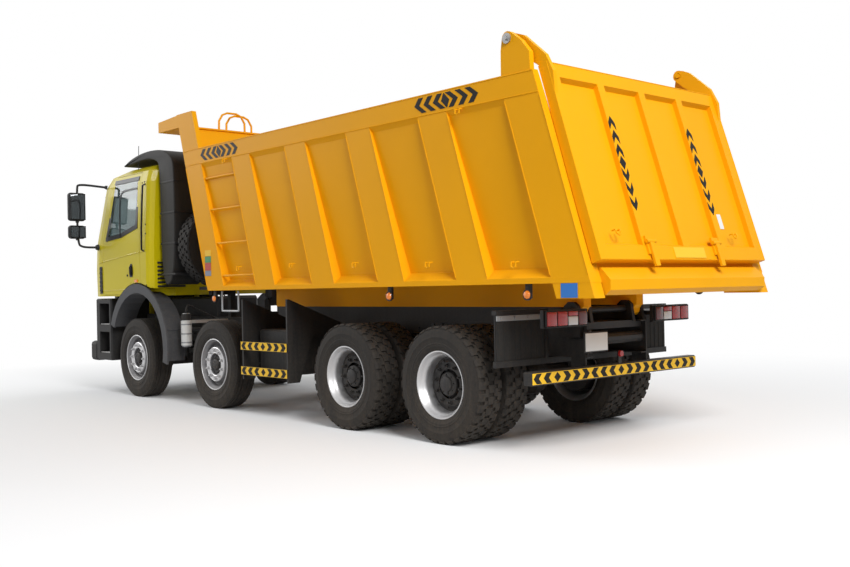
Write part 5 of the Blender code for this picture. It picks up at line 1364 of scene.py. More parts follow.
@dataclass
class Tailgate:
    """Finish, hazard chevrons, latches and blank labels of the tailgate."""

    shop: Workshop
    foot_x: float = -7.86
    foot_z: float = 1.555
    gap: float = 0.008
    thickness: float = 0.09
    half_width: float = 1.196
    rim: Point3 = (0.006, 0.83, 1.664)
    columns: Point2 = (0.565, -0.565)
    column_middle: float = 0.84
    mark_step: float = 0.125
    mark_reach: float = 0.062
    mark_half: float = 0.042
    latches: Point2 = (0.53, -0.43)
    hooks: Point2 = (0.93, -0.76)
    hook_bend: tuple[Point3, ...] = (
        (-0.03, 0.24, -0.004), (-0.03, 0.238, 0.03), (-0.024, 0.205, 0.034), (0.0, 0.192, 0.034),
        (0.024, 0.205, 0.034), (0.03, 0.238, 0.03), (0.03, 0.24, -0.004),
    )

    def at(self, across: float, along: float, out: float) -> Point3:
        """World point on the gate.

        Args:
            across: World Y.
            along: Distance up the gate from its foot.
            out: Distance behind the gate's rear face.

        Returns:
            The point.
        """
        angle = math.atan(LEAN)
        reach = self.thickness + out
        x = leaned(self.foot_x, self.foot_z) - self.gap
        return (x + along * math.sin(angle) - reach * math.cos(angle), across,
                self.foot_z + along * math.cos(angle) + reach * math.sin(angle))

    def build(self) -> None:
        """Dress the gate and add its fittings."""
        self.shop.dress(Paint.BODY, ("tailgate",))
        dark = Shape()
        for y in self.columns:
            self._column(dark, y)
        self.shop.finish(dark, "gate_chevrons", "tailgate", Paint.MARK_BLACK)
        self._latches()
        self._labels()
        self._beads()

    def _plate(self, shape: Shape, corners: Sequence[Point2], out: float = 0.0,
               thickness: float = MARK_THICKNESS) -> None:
        """Add a thin plate on the gate's rear face.

        Args:
            shape: Shape that takes it.
            corners: Its corners as (across, along).
            out: How far behind the face it starts.
            thickness: Its thickness.
        """
        points = [self.at(across, along, out) for across, along in corners]
        outwards = Vector(self.at(0.0, 0.0, 1.0)) - Vector(self.at(0.0, 0.0, 0.0))
        shape.sheet(facing(points, outwards), thickness)

    def _panel(self, shape: Shape, across: Point2, along: Point2, out: float, thickness: float) -> None:
        """Add a rectangular plate on the gate's rear face."""
        (a0, a1), (s0, s1) = across, along
        self._plate(shape, [(a0, s0), (a1, s0), (a1, s1), (a0, s1)], out, thickness)

    def _column(self, dark: Shape, y: float) -> None:
        """Chevrons up and down from a diamond on one of the gate's ribs.

        Args:
            dark: Shape that takes them.
            y: Middle of the rib.
        """
        middle, reach, half = self.column_middle, self.mark_reach, self.mark_half
        marks: list[list[Point2]] = []
        for i in (-3, -2, -1, 1, 2, 3):
            way = 1 if i > 0 else -1
            marks += chevron(middle + i * self.mark_step + way * 0.045, way, reach, reach, half)
        marks.append(diamond(middle, reach, half))
        for outline in marks:
            self._plate(dark, [(y + rise, run) for run, rise in outline])

    def _latches(self) -> None:
        """Two hanging latches and two hooks near the gate's foot."""
        shape = Shape()
        for y in self.latches:
            self._panel(shape, (y - 0.05, y + 0.05), (0.045, 0.2), -0.002, 0.02)
            self._panel(shape, (y - 0.028, y + 0.028), (-0.06, 0.15), 0.016, 0.022)
            shape.rod(self.at(y - 0.06, 0.15, 0.026), self.at(y + 0.06, 0.15, 0.026), 0.016, sides=16)
        for y in self.hooks:
            shape.tube([self.at(y + dy, along, out) for dy, along, out in self.hook_bend], 0.007, 8)
        self.shop.finish(shape, "gate_latches", "tailgate", Paint.BODY)

    def _labels(self) -> None:
        """Blank number plate and a small blank label."""
        for name, paint, across, along, out, thickness in (
            ("gate_blank_plate", Paint.MARK_YELLOW, (-0.24, 0.21), (0.018, 0.11), -0.001, 0.008),
            ("gate_small_label", Paint.SIGN_WHITE, (-0.745, -0.665), (0.31, 0.45), -0.044, 0.004),
        ):
            shape = Shape()
            self._panel(shape, across, along, out, thickness)
            self.shop.finish(shape, name, "tailgate", paint)

    def _beads(self) -> None:
        """Rounded beads along the frame of the gate."""
        shape = Shape()
        low, middle, high = self.rim
        for along in (low, high):
            shape.tube([self.at(y, along, 0.0) for y in (-self.half_width, 0.0, self.half_width)], 0.005, 6)
        for y in (-self.half_width, self.half_width):
            shape.tube([self.at(y, along, 0.0) for along in (low, middle, high)], 0.005, 6)
        self.shop.finish(shape, "gate_beads", "tailgate", Paint.BODY)


# Rear end and frame equipment


@dataclass
class RearEnd:
    """Tail lamps, mudflaps, number plate, underrun bar and guard boards."""

    shop: Workshop
    bar: Point3 = (-3.9102, 1.176, 0.632)
    bar_half: float = 0.046
    bar_marks: str = "<<o>>><<<o>>><<<o>>"
    boards_x: Point2 = (-3.735, -2.815)
    boards_y: float = 1.2472
    boards_z: Point2 = (0.5, 0.78)
    board_half: float = 0.045
    board_marks: str = "<<<o>>>"
    lamps_x: float = -7.19
    lamps_y: Point2 = (0.492, 1.028)
    lamp_bars: tuple[float, ...] = (0.492, 0.612, 0.748, 0.884, 1.018)
    frame_z: Point2 = (1.044, 1.186)
    lens_z: Point2 = (1.056, 1.174)
    clear_z: float = 1.13
    lenses: tuple[tuple[Paint, float, float], ...] = (
        (Paint.LENS_DARK, 0.504, 0.61), (Paint.LENS_CLEAR, 0.624, 0.746),
        (Paint.LENS_RED, 0.76, 0.882), (Paint.LENS_RED, 0.896, 1.016),
    )
    flaps_x: float = -6.796
    flaps_y: Point2 = (0.6, 1.208)
    flap_ribs: int = 9
    clamp_bolts: int = 4

    def build(self) -> None:
        """Dress the rear equipment and add its lenses and stripes."""
        self.shop.dress(Paint.FRAME, ("rear_fenders", "underrun_bar", "battery_box"))
        self._underrun()
        self._boards()
        self._lamps()
        self._small_lamp()
        self._flaps()
        self._plate()

    def _striped(self, start: Point3, end: Point3, out: Point3, half: float,
                 marks: str) -> tuple[Shape, Shape]:
        """Stripe a board with chevrons that point both ways from diamonds.

        Args:
            start: Middle of the board's first end, on its face.
            end: Middle of its other end.
            out: Direction that the face looks in.
            half: Half height of the board's face.
            marks: One sign per mark, in order: < and > for chevrons, o for a diamond.

        Returns:
            The yellow ground and the dark marks.
        """
        ground, dark = Shape(), Shape()
        a, outwards = Vector(start), Vector(out)
        length = (Vector(end) - a).length
        along = (Vector(end) - a).normalized()

        def add(shape: Shape, points: Sequence[Point2], lift: float, thickness: float) -> None:
            """Lay an outline of (run, rise) on the board, lifted off its face."""
            ring = [a + along * run + UP * rise + outwards * lift for run, rise in points]
            shape.sheet(facing(ring, outwards), thickness)

        add(ground, [(0.0, -half), (length, -half), (length, half), (0.0, half)], 0.0, 0.0015)
        step, inner = length / len(marks), half - 0.004
        for i, mark in enumerate(marks):
            centre = (i + 0.5) * step
            way = {"<": -1, ">": 1, "o": 0}[mark]
            outlines = [diamond(centre, -step * 0.34, -inner)]
            if way:
                outlines = chevron(centre + way * step * 0.4, way, step * 0.3, step * 0.52, inner)
            for outline in outlines:
                add(dark, outline, 0.0014, 0.0012)
        return ground, dark

    def _underrun(self) -> None:
        """Striped rear face of the underrun bar."""
        x, y, z = self.bar
        ground, dark = self._striped((x, y, z), (x, -y, z), (-1.0, 0.0, 0.0), self.bar_half, self.bar_marks)
        self.shop.finish(ground, "underrun_stripe_ground", "chassis", Paint.MARK_YELLOW)
        self.shop.finish(dark, "underrun_chevrons", "chassis", Paint.MARK_BLACK)

    def _boards(self) -> None:
        """Striped faces of the two guard boards on the left."""
        rear, front = (local(x) for x in self.boards_x)
        for i, z in enumerate(self.boards_z, start=1):
            ground, dark = self._striped((rear, self.boards_y, z), (front, self.boards_y, z),
                                         Side.LEFT.out, self.board_half, self.board_marks)
            self.shop.finish(ground, f"guard_board_ground_{i}", "chassis", Paint.MARK_YELLOW)
            self.shop.finish(dark, f"guard_board_chevrons_{i}", "chassis", Paint.MARK_BLACK)

    def _lamps(self) -> None:
        """Tail lamps with dark red, red and clear fields in a dark frame."""
        x = local(self.lamps_x)
        low, high = self.frame_z
        bottom, top = self.lens_z
        rim, glass = (x - 0.012, x + 0.004), (x - 0.016, x + 0.002)
        frames = Shape()
        fields = {Paint.LENS_DARK: Shape(), Paint.LENS_RED: Shape(), Paint.LENS_CLEAR: Shape()}
        for side in Side:
            for z in (low, high - 0.01):
                frames.box(rim, side.band(*self.lamps_y), (z, z + 0.01), 0.003, 1)
            for y in self.lamp_bars:
                frames.box(rim, side.band(y, y + 0.01), self.frame_z, 0.003, 1)
            for paint, y0, y1 in self.lenses:
                across, height = side.band(y0, y1), self.lens_z
                if paint is Paint.LENS_CLEAR:
                    fields[Paint.LENS_RED].box(glass, across, (self.clear_z + 0.004, top), 0.005, 2)
                    height = (bottom, self.clear_z)
                fields[paint].box(glass, across, height, 0.006, 2)
        self.shop.finish(frames, "tail_lamp_frames", "chassis", Paint.PLASTIC)
        for paint, shape in fields.items():
            self.shop.finish(shape, f"tail_lamp_{paint.name.lower()}", "chassis", paint)

    def _small_lamp(self) -> None:
        """Small round red lamp in the middle, on its tab."""
        lamp = Shape().rod((-3.922, 0.0, 0.775), (-3.902, 0.0, 0.775), 0.026, 0.03, sides=28)
        self.shop.finish(lamp, "rear_small_lamp", "chassis", Paint.LENS_RED)
        tab = Shape().box((-3.902, -3.885), (-0.022, 0.022), (0.68, 0.8), 0.003, 1)
        self.shop.finish(tab, "rear_small_lamp_tab", "chassis", Paint.FRAME)

    def _flaps(self) -> None:
        """Ribbed rubber faces and grey clamping bars of the mudflaps."""
        rubber, clamps = Shape(), Shape()
        x = local(self.flaps_x)
        for side in Side:
            across = side.band(*self.flaps_y)
            rubber.box((x - 0.006, x), across, (0.742, 1.146), 0.003, 1)
            for i in range(self.flap_ribs):
                y = side.value * (0.632 + i * 0.068)
                rubber.box((x - 0.009, x - 0.004), (y - 0.008, y + 0.008), (0.765, 1.085), 0.002, 1)
            clamps.box((x - 0.014, x - 0.005), across, (1.1, 1.148), 0.003, 1)
            for i in range(self.clamp_bolts):
                y = side.value * (0.655 + i * 0.165)
                clamps.rod((x - 0.013, y, 1.124), (x - 0.024, y, 1.124), 0.012, sides=6)
        self.shop.finish(rubber, "mudflap_ribs", "chassis", Paint.FLAP)
        self.shop.finish(clamps, "mudflap_clamps", "chassis", Paint.GALVANISED)

    def _plate(self) -> None:
        """Blank number plate on a bracket under the left lamps."""
        plate = Shape().box((-3.93, -3.924), (0.21, 0.51), (0.82, 0.975), 0.003, 2)
        bracket = Shape().box((-3.924, -3.914), (0.195, 0.525), (0.808, 0.987), 0.004, 1)
        bracket.box((-3.922, -3.88), (0.42, 0.45), (0.8, 1.0), 0.003, 1)
        self.shop.finish(plate, "rear_blank_plate", "chassis", Paint.SIGN_WHITE)
        self.shop.finish(bracket, "rear_plate_bracket", "chassis", Paint.FRAME)


@dataclass
class Running:
    """Frame, axles, springs, driveline, tanks and hoist."""

    shop: Workshop
    rail_y: float = 0.43
    bolt_rows: Point2 = (0.825, 0.985)
    bolt_start: float = -3.7
    bolt_pitch: float = 0.335
    bolts: int = 24
    spring_y: float = 0.385
    tandem_y: float = 0.51
    straps_x: Point2 = (-3.78, -3.1)
    strap: tuple[Point2, ...] = (
        (-1.146, 0.56), (-1.146, 0.96), (-1.12, 1.02), (-1.06, 1.046), (-0.6, 1.046),
        (-0.6, 1.04), (-1.052, 1.04), (-1.112, 1.014), (-1.14, 0.958), (-1.14, 0.562),
        (-1.112, 0.506), (-1.05, 0.48), (-0.6, 0.48), (-0.6, 0.474), (-1.054, 0.474),
        (-1.118, 0.5),
    )
    filler: Point3 = (-3.2, -0.9, 1.06)
    hose_y: float = 0.448
    hoses: tuple[Point2, ...] = ((0.905, 0.011), (0.935, 0.009))
    hose_points: int = 14
    cab_lines: int = 3
    dryer: Point2 = (-1.13, 1.02)
    loop_x: Point2 = (-2.73, -2.37)
    loop_y: float = 1.215

    def build(self) -> None:
        """Dress the chassis and add bolts, straps, hoses and clamps."""
        dress = self.shop.dress
        dress(Paint.FRAME, ("chassis_frame", "axle_1", "axle_2", "axle_3", "axle_4", "tandem_springs",
                            "propshaft", "spare_carrier", "knuckle_1_left", "knuckle_1_right",
                            "knuckle_2_left", "knuckle_2_right"))
        dress(Paint.HUB, ("engine", "silencer"))
        dress(Paint.GALVANISED, ("fuel_tank",))
        dress(Paint.WHITE, ("air_dryer",))
        dress(Paint.FENDER, ("wheel_arch_left", "wheel_arch_right"))
        dress(Paint.HUB, ("hoist_barrel",))
        dress(Paint.CHROME, tuple(f"hoist_stage_{i}" for i in range(1, 5)))
        self._frame_bolts()
        self._spring_clamps()
        self._tank_straps()
        self._fuel_cap()
        self._hoses()
        self._dryer()
        self._front_loop()

    def _frame_bolts(self) -> None:
        """Bolt heads along both rails."""
        shape = Shape()
        for side in Side:
            near, far = side.band(self.rail_y - 0.002, self.rail_y + 0.009)
            for i in range(self.bolts):
                x = self.bolt_start + i * self.bolt_pitch
                for z in self.bolt_rows:
                    shape.rod((x, near, z), (x, far, z), 0.012, sides=6)
        self.shop.finish(shape, "rail_bolts", "chassis", Paint.FRAME)

    def _spring_clamps(self) -> None:
        """U-bolts that hold the springs to the axles."""
        shape = Shape()

        def bolt(x: float, y: float, span: Point2, nut: Point2, radius: float, nut_radius: float) -> None:
            """Add a bolt with its nut, each between two heights."""
            shape.rod((x, y, span[0]), (x, y, span[1]), radius, sides=8)
            shape.rod((x, y, nut[0]), (x, y, nut[1]), nut_radius, sides=6)

        for side in Side:
            for axle in AXLES[:2]:
                y = side.value * self.spring_y
                for x in (axle - 0.06, axle + 0.06):
                    for edge in (-0.05, 0.05):
                        bolt(x, y + edge, (0.43, 0.7), (0.69, 0.708), 0.009, 0.016)
            x = (AXLES[2] + AXLES[3]) / 2
            y = side.value * self.tandem_y
            for dx in (-0.09, 0.09):
                for edge in (-0.056, 0.056):
                    bolt(x + dx, y + edge, (0.7, 1.02), (1.01, 1.035), 0.011, 0.019)
        self.shop.finish(shape, "spring_bolts", "chassis", Paint.HUB)

    def _tank_straps(self) -> None:
        """Straps round the fuel tank."""
        shape = Shape()
        for x in self.straps_x:
            shape.slab(self.strap, Axis.X, local(x) - 0.026, local(x) + 0.026)
        self.shop.finish(shape, "fuel_tank_straps", "chassis", Paint.STEEL, smooth_angle=50.0)

    def _fuel_cap(self) -> None:
        """Cap on the fuel tank's filler, with its grip."""
        cap = Shape()
        x, y, z = local(self.filler[0]), self.filler[1], self.filler[2]
        cap.rod((x, y, z), (x, y, z + 0.03), 0.06, 0.056, sides=32)
        cap.box((x - 0.01, x + 0.01), (y - 0.05, y + 0.05), (z + 0.026, z + 0.04), 0.004)
        self.shop.finish(cap, "fuel_cap", "chassis", Paint.PLASTIC)

    def _hoses(self) -> None:
        """Air and brake lines along the rails and up to the cab."""
        shape = Shape()
        for side in Side:
            y = side.value * self.hose_y
            for z, radius in self.hoses:
                shape.tube([(3.6 - i * 0.52, y, z + 0.006 * math.sin(i * 1.7))
                            for i in range(self.hose_points)], radius, 8)
        for k in range(self.cab_lines):
            y = 0.3 - 0.06 * k
            shape.tube([(2.6, y, 1.05), (2.56, y, 1.2), (2.6, y, 1.34), (2.72, y, 1.42)], 0.01, 8)
        self.shop.finish(shape, "air_lines", "chassis", Paint.HOSE)

    def _dryer(self) -> None:
        """Bands and caps of the white air dryer, with its dark top and its line."""
        x, y = local(self.dryer[0]), self.dryer[1]
        shape = Shape()
        for z in (0.75, 0.86, 0.98):
            shape.rod((x, y, z), (x, y, z + 0.016), 0.0715, sides=36)
        shape.rod((x, y, 1.119), (x, y, 1.13), 0.05, 0.042, sides=32)
        shape.rod((x, y, 0.7), (x, y, 0.722), 0.052, 0.06, sides=32)
        self.shop.finish(shape, "air_dryer_bands", "chassis", Paint.GALVANISED)
        dark = Shape().rod((x, y, 1.04), (x, y, 1.1215), 0.06, 0.059, sides=32)
        line = [(x, y, 1.11), (x, y, 1.19), (x + 0.06, y - 0.06, 1.24),
                (x + 0.12, y - 0.2, 1.18), (x + 0.13, y - 0.56, 1.02)]
        dark.tube(eased(line, 3), 0.012, 10)
        self.shop.finish(dark, "air_dryer_top", "chassis", Paint.HOSE)

    def _front_loop(self) -> None:
        """Bent bar that hangs below the body's front end on the left."""
        low, high = (local(x) for x in self.loop_x)
        y = self.loop_y
        route = [(low, y, 1.4), (low, y, 1.175), (low, y, 1.17), (high, y, 1.17), (high, y, 1.175),
                 (high, y, 1.4)]
        self.shop.finish(Shape().tube(eased(route, 1), 0.012, 8), "body_front_loop", "bed",
                         Paint.GALVANISED)


# Cab


@dataclass
class Cab:
    """Finish, glass, trim and interior of the tilting cab and its doors."""

    shop: Workshop
    belt_z: float = 2.08
    shoulder_z: float = 2.88
    half_width: float = 1.22
    window: tuple[Point2, ...] = ((-0.17, 2.29), (-0.18, 2.93), (0.5, 2.93), (0.74, 2.16),
                                  (0.3, 2.19))
    quarter_bar: tuple[Point2, ...] = ((0.33, 2.2), (0.36, 2.64), (0.33, 2.76), (0.24, 2.8),
                                       (-0.17, 2.8))
    handle_recess: tuple[Point2, ...] = ((-0.06, 1.615), (0.035, 1.615), (0.045, 1.64), (0.035, 1.77),
                                         (0.0, 1.8), (-0.045, 1.785))
    press_line: Point3 = (1.923, 0.085, 0.0075)
    marker: Point2 = (-0.155, 1.56)
    door_edge: tuple[Point2, ...] = ((-0.262, 1.56), (-0.262, 3.0), (0.476, 3.0), (0.872, 2.094),
                                     (0.872, 1.384), (0.205, 1.384))
    slots: int = 6
    louvres: int = 7
    mirror: Point2 = (1.08, 1.5)
    housings: tuple[Point3, ...] = ((2.43, 2.83, 0.042), (2.18, 2.37, 0.044))
    glasses: tuple[Point2, ...] = ((2.455, 2.805), (2.2, 2.35))
    rail_x: float = -0.395
    rail: tuple[Point2, ...] = ((1.95, -0.004), (1.97, 0.036), (2.25, 0.04), (2.6, 0.04),
                                (2.82, 0.036), (2.84, -0.004))
    screen_x: float = 1.355
    screen_lean: float = -0.35
    hood: tuple[Point2, ...] = (
        (-0.6, 1.5), (-0.6, 3.06), (-0.48, 3.16), (-0.18, 3.2), (0.43, 3.15),
        (0.47, 3.165), (0.3, 3.23), (0.0, 3.285), (-0.38, 3.3), (-0.72, 3.26),
        (-0.94, 3.14), (-0.98, 2.96), (-0.98, 2.1), (-0.9, 1.5),
    )
    hood_y: Point2 = (0.641, 1.079)

    def build(self) -> None:
        """Dress the cab and add its fittings."""
        shop = self.shop
        shop.dress(Paint.CAB, ("cab_shell", "door_left", "door_right"))
        shop.dress(Paint.PLASTIC, ("cab_grille", "steering_wheel", "front_bumper"))
        shop.dress(Paint.TRIM, ("dashboard",))
        shop.dress(shop.palette.glass(), ("windscreen", "door_glass_left", "door_glass_right"))
        for side in Side:
            for fit in (self._window_frame, self._handle, self._door_trim, self._corner_slots,
                        self._mirrors, self._mirror_glass, self._rear_column, self._steps):
                fit(side)
        for fit in (self._roof, self._front, self._lamps, self._intake_bands, self._lining,
                    self._instruments):
            fit()

    def skin(self, x: float, z: float, side: Side, out: float = 0.0) -> Point3:
        """World point on the cab's flat side.

        Args:
            x: X from the first axle.
            z: Height.
            side: Left or right.
            out: Distance out of the skin.

        Returns:
            The point.
        """
        width = self.half_width
        if z > self.shoulder_z:
            width -= 0.035 + (z - self.shoulder_z) / 0.14 * 0.04
        elif z > self.belt_z:
            width -= (z - self.belt_z) / 0.8 * 0.035
        return (local(x), side.value * (width + out), z)

    def _strip(self, shape: Shape, side: Side, points: Sequence[Point2], width: float, out: float,
               thickness: float, closed: bool = False) -> None:
        """Add a flat strip that follows points on the cab's side.

        Args:
            shape: Shape that takes it.
            side: Left or right.
            points: Middle line as (x, z).
            width: Its width.
            out: How far out of the skin it starts.
            thickness: How far it stands proud.
            closed: Join the last point to the first.
        """
        ends = list(points) + ([points[0]] if closed else [])
        for (x0, z0), (x1, z1) in zip(ends, ends[1:]):
            run = Vector((x1 - x0, z1 - z0)).normalized()
            across = Vector((-run.y, run.x)) * width / 2
            reach = run * (width / 2 if closed else 0.0)
            corners = [
                self.skin(x0 - reach.x + across.x, z0 - reach.y + across.y, side, out),
                self.skin(x1 + reach.x + across.x, z1 + reach.y + across.y, side, out),
                self.skin(x1 + reach.x - across.x, z1 + reach.y - across.y, side, out),
                self.skin(x0 - reach.x - across.x, z0 - reach.y - across.y, side, out),
            ]
            shape.sheet(facing(corners, side.out), thickness)

    def _pressed(self, shape: Shape, side: Side, stations: Sequence[float], height: float, fall: float,
                 radius: float) -> None:
        """Add a pressed line along the cab's side, which falls evenly towards the front."""
        shape.tube([self.skin(x, height - x * fall, side, 0.001) for x in stations], radius, 8)

    def _window_frame(self, side: Side) -> None:
        """Black frame round the door's window, with the bar of its quarter light.

        Args:
            side: Left or right.
        """
        shape = Shape()
        self._strip(shape, side, self.window, 0.058, -0.002, 0.01, True)
        self._strip(shape, side, eased(self.quarter_bar, 2), 0.026, -0.006, 0.012)
        self.shop.finish(shape, f"window_frame_{side.label}", f"door_{side.label}", Paint.GLOSS_BLACK)

    def _handle(self, side: Side) -> None:
        """Door handle in its recess, with the lock.

        Args:
            side: Left or right.
        """
        dark = Shape()
        dark.slab([(local(x), z) for x, z in eased(self.handle_recess, 1, True)], Axis.Y,
                  *side.band(self.half_width - 0.002, self.half_width + 0.005))
        dark.tube([self.skin(x, z, side, out) for x, z, out in (
            (-0.012, 1.64, 0.004), (-0.01, 1.655, 0.02), (-0.006, 1.75, 0.02), (-0.004, 1.765, 0.004),
        )], 0.012, 10)
        dark.rod(self.skin(0.11, 1.64, side), self.skin(0.11, 1.64, side, 0.008), 0.014, sides=24)
        self.shop.finish(dark, f"door_handle_{side.label}", f"door_{side.label}", Paint.GLOSS_BLACK)

    def _door_trim(self, side: Side) -> None:
        """Pressed lines, marker lamp and seal of a door.

        Args:
            side: Left or right.
        """
        body = f"door_{side.label}"
        height, fall, radius = self.press_line
        line, rest, marker, seal = Shape(), Shape(), Shape(), Shape()
        self._pressed(line, side, (-0.262, 0.0, 0.3, 0.6, 0.872), height, fall, radius)
        self._pressed(line, side, (0.18, 0.5, 0.872), 1.455, 0.02, 0.005)
        self.shop.finish(line, f"door_pressing_{side.label}", body, Paint.CAB)
        for stations in ((-0.445, -0.36, -0.28), (0.892, 0.96, 1.0)):
            self._pressed(rest, side, stations, height, fall, radius)
        self.shop.finish(rest, f"cab_pressing_{side.label}", "cab", Paint.CAB)
        x, z = self.marker
        self._strip(marker, side, [(x - 0.036, z), (x + 0.036, z)], 0.034, 0.0, 0.014)
        self.shop.finish(marker, f"marker_lamp_{side.label}", body, Paint.LENS_AMBER)
        for a, b in zip(self.door_edge, self.door_edge[1:]):
            seal.tube([self.skin(*a, side, -0.01), self.skin(*b, side, -0.01)], 0.005, 6)
        self.shop.finish(seal, f"door_seal_{side.label}", body, Paint.HOSE)

    def _corner_slots(self, side: Side) -> None:
        """Black slotted panel at the cab's front corner, behind the lamp.

        Args:
            side: Left or right.
        """
        shape = Shape()
        self._strip(shape, side, [(0.94, 1.4), (0.948, 1.78)], 0.08, 0.0004, 0.006)
        for i in range(self.slots):
            z = 1.43 + i * 0.062
            self._strip(shape, side, [(0.908, z), (0.976, z + 0.016)], 0.022, 0.005, 0.01)
        self.shop.finish(shape, f"corner_slots_{side.label}", "cab", Paint.PLASTIC)

    def _mirrors(self, side: Side) -> None:
        """Rounded housings of the main and wide-angle mirrors on their bent arm.

        Args:
            side: Left or right.
        """
        shape = Shape()
        x, y = self.mirror
        route = [(0.84, 1.163, 2.9), (x - 0.01, y - 0.02, 2.955), (x, y, 2.9), (x, y, 2.12),
                 (x - 0.01, y - 0.06, 2.062), (1.03, 1.224, 2.06)]
        shape.tube([(local(a), side.value * b, c) for a, b, c in eased(route, 3)], 0.0155, 12)
        for low, high, bevel in self.housings:
            shape.box(span(x - 0.05, x + 0.05), side.band(y - 0.112, y + 0.132), (low, high), bevel, 6)
            foot = (local(x), side.value * y, low)
            shape.rod((*foot[:2], low - 0.02), (*foot[:2], low + 0.01), 0.024, sides=20)
        for start, end, radius, end_radius, sides in (
            ((1.03, 1.2205, 2.06), (1.03, 1.254, 2.06), 0.045, 0.034, 32),
            ((0.84, 1.16, 2.9), (0.846, 1.19, 2.906), 0.03, 0.022, 24),
        ):
            near, far = ((local(a), side.value * b, c) for a, b, c in (start, end))
            shape.rod(near, far, radius, end_radius, sides)
        self.shop.finish(shape, f"mirror_housings_{side.label}", "cab", Paint.PLASTIC,
                         f"mirrors_{side.label}")

    def _rear_column(self, side: Side) -> None:
        """Rubber plugs down the cab's rear column and the louvres behind it.

        Args:
            side: Left or right.
        """
        shape = Shape()
        step = Vector(side.out) * 0.005
        for z in (1.5, 2.18, 2.3, 2.86):
            corner = (local(-0.444), side.value * (self.half_width - 0.002), z)
            for point in (self.skin(-0.315, z, side, -0.001), corner):
                shape.rod(point, Vector(point) + step, 0.011, 0.009, sides=16)
        for i in range(self.louvres):
            z = 1.47 + i * 0.052
            shape.box(span(-0.546, -0.517), side.band(0.7, 1.1), (z, z + 0.026), 0.006, 1)
        self.shop.finish(shape, f"rear_plugs_and_louvres_{side.label}", "cab", Paint.HOSE)

    def _mirror_glass(self, side: Side) -> None:
        """Glasses and rims of the two outside mirrors, looking back.

        Args:
            side: Left or right.
        """
        glass, trim = Shape(), Shape()
        x, y = local(1.03), side.value * 1.51
        for low, high in self.glasses:
            glass.box((x - 0.003, x + 0.002), (y - 0.098, y + 0.098), (low, high), 0.0015, 1)
            for z in (low - 0.01, high + 0.002):
                trim.box((x - 0.01, x + 0.002), (y - 0.108, y + 0.108), (z, z + 0.008), 0.002, 1)
            for edge in (y - 0.108, y + 0.1):
                trim.box((x - 0.01, x + 0.002), (edge, edge + 0.008), (low - 0.01, high + 0.01), 0.002, 1)
        self.shop.finish(glass, f"mirror_glass_{side.label}", "cab", Paint.MIRROR)
        self.shop.finish(trim, f"mirror_rims_{side.label}", "cab", Paint.GLOSS_BLACK)

    def _steps(self, side: Side) -> None:
        """Ribbed step treads, and a grab rail on the cab.

        Args:
            side: Left or right.
        """
        treads = Shape()
        low, high = sorted(side.band(1.065, 1.196))
        for z in (0.562, 0.962):
            for i in range(5):
                y = low + 0.012 + i * (high - low - 0.024) / 4
                treads.box(span(0.775, 1.065), (y - 0.006, y + 0.006), (z, z + 0.01), 0.002, 1)
        self.shop.finish(treads, f"step_treads_{side.label}", "chassis", Paint.STEEL)
        rail = Shape().tube([self.skin(self.rail_x, z, side, out) for z, out in self.rail], 0.0125, 12)
        self.shop.finish(rail, f"grab_rail_{side.label}", "cab", Paint.GLOSS_BLACK)

    def _roof(self) -> None:
        """Roof ribs, aerial, sun visor and marker lamps."""
        ribs, dark, lenses = Shape(), Shape(), Shape()
        for y in (-0.66, -0.33, 0.0, 0.33, 0.66):
            ribs.box(span(-0.34, 0.56), (y - 0.045, y + 0.045), (3.094, 3.11), 0.007, 3)
        self.shop.finish(ribs, "roof_ribs", "cab", Paint.CAB)
        x, y = local(0.05), 1.06
        dark.tube([(x, y, 3.03), (x - 0.01, y + 0.002, 3.2), (x - 0.03, y + 0.006, 3.4)], 0.0045, 8)
        dark.rod((x, y, 3.02), (x, y, 3.056), 0.016, 0.01, sides=20)
        visor = ((1.1, 2.9), (1.255, 2.79), (1.262, 2.8), (1.112, 2.925))
        dark.slab([(local(x), z) for x, z in visor], Axis.Y, -1.0, 1.0)
        self.shop.finish(dark, "aerial_and_sun_visor", "cab", Paint.GLOSS_BLACK)
        for y in (-0.6, -0.3, 0.0, 0.3, 0.6):
            lenses.ball((local(0.8), y, 3.085), 0.045, 0.55)
        self.shop.finish(lenses, "roof_marker_lamps", "cab", Paint.LENS_AMBER)

    def _front(self) -> None:
        """Windscreen surround, wipers, grille slats and front plate."""
        dark, slats = Shape(), Shape()
        for y, low, high in ((1.05, 1.99, 2.055), (1.0, 2.862, 2.9)):
            x0, x1 = (local(self.screen_x) + self.screen_lean * max(0.0, z - self.belt_z)
                      for z in (low, high))
            dark.sheet([(x0, -y, low), (x0, y, low), (x1, y, high), (x1, -y, high)], 0.006)
        for y in (0.62, -0.1):
            start = Vector((local(1.385), y, 2.035))
            tip = Vector((local(1.29), y - 0.46, 2.38))
            dark.tube([start, start.lerp(tip, 0.5) + Vector((0.012, 0, 0)), tip], 0.008, 8)
            blade = (tip + Vector((0.062, 0.05, -0.3)), tip, tip + Vector((-0.07, -0.04, 0.24)))
            dark.tube(blade, 0.009, 6)
            dark.rod(start + Vector((-0.03, 0, 0)), start + Vector((0.014, 0, 0)), 0.02, sides=20)
        self.shop.finish(dark, "screen_surround_and_wipers", "cab", Paint.GLOSS_BLACK)
        for z in (0.945, 1.048, 1.148, 1.252):
            slats.box(span(1.392, 1.412), (-0.655, 0.655), (z, z + 0.024), 0.006)
        self.shop.finish(slats, "grille_slats", "cab", Paint.STEEL)
        plate = Shape().box(span(1.4195, 1.4225), (-0.22, 0.22), (0.62, 0.7), 0.001, 1)
        self.shop.finish(plate, "front_blank_plate", "chassis", Paint.SIGN_WHITE)

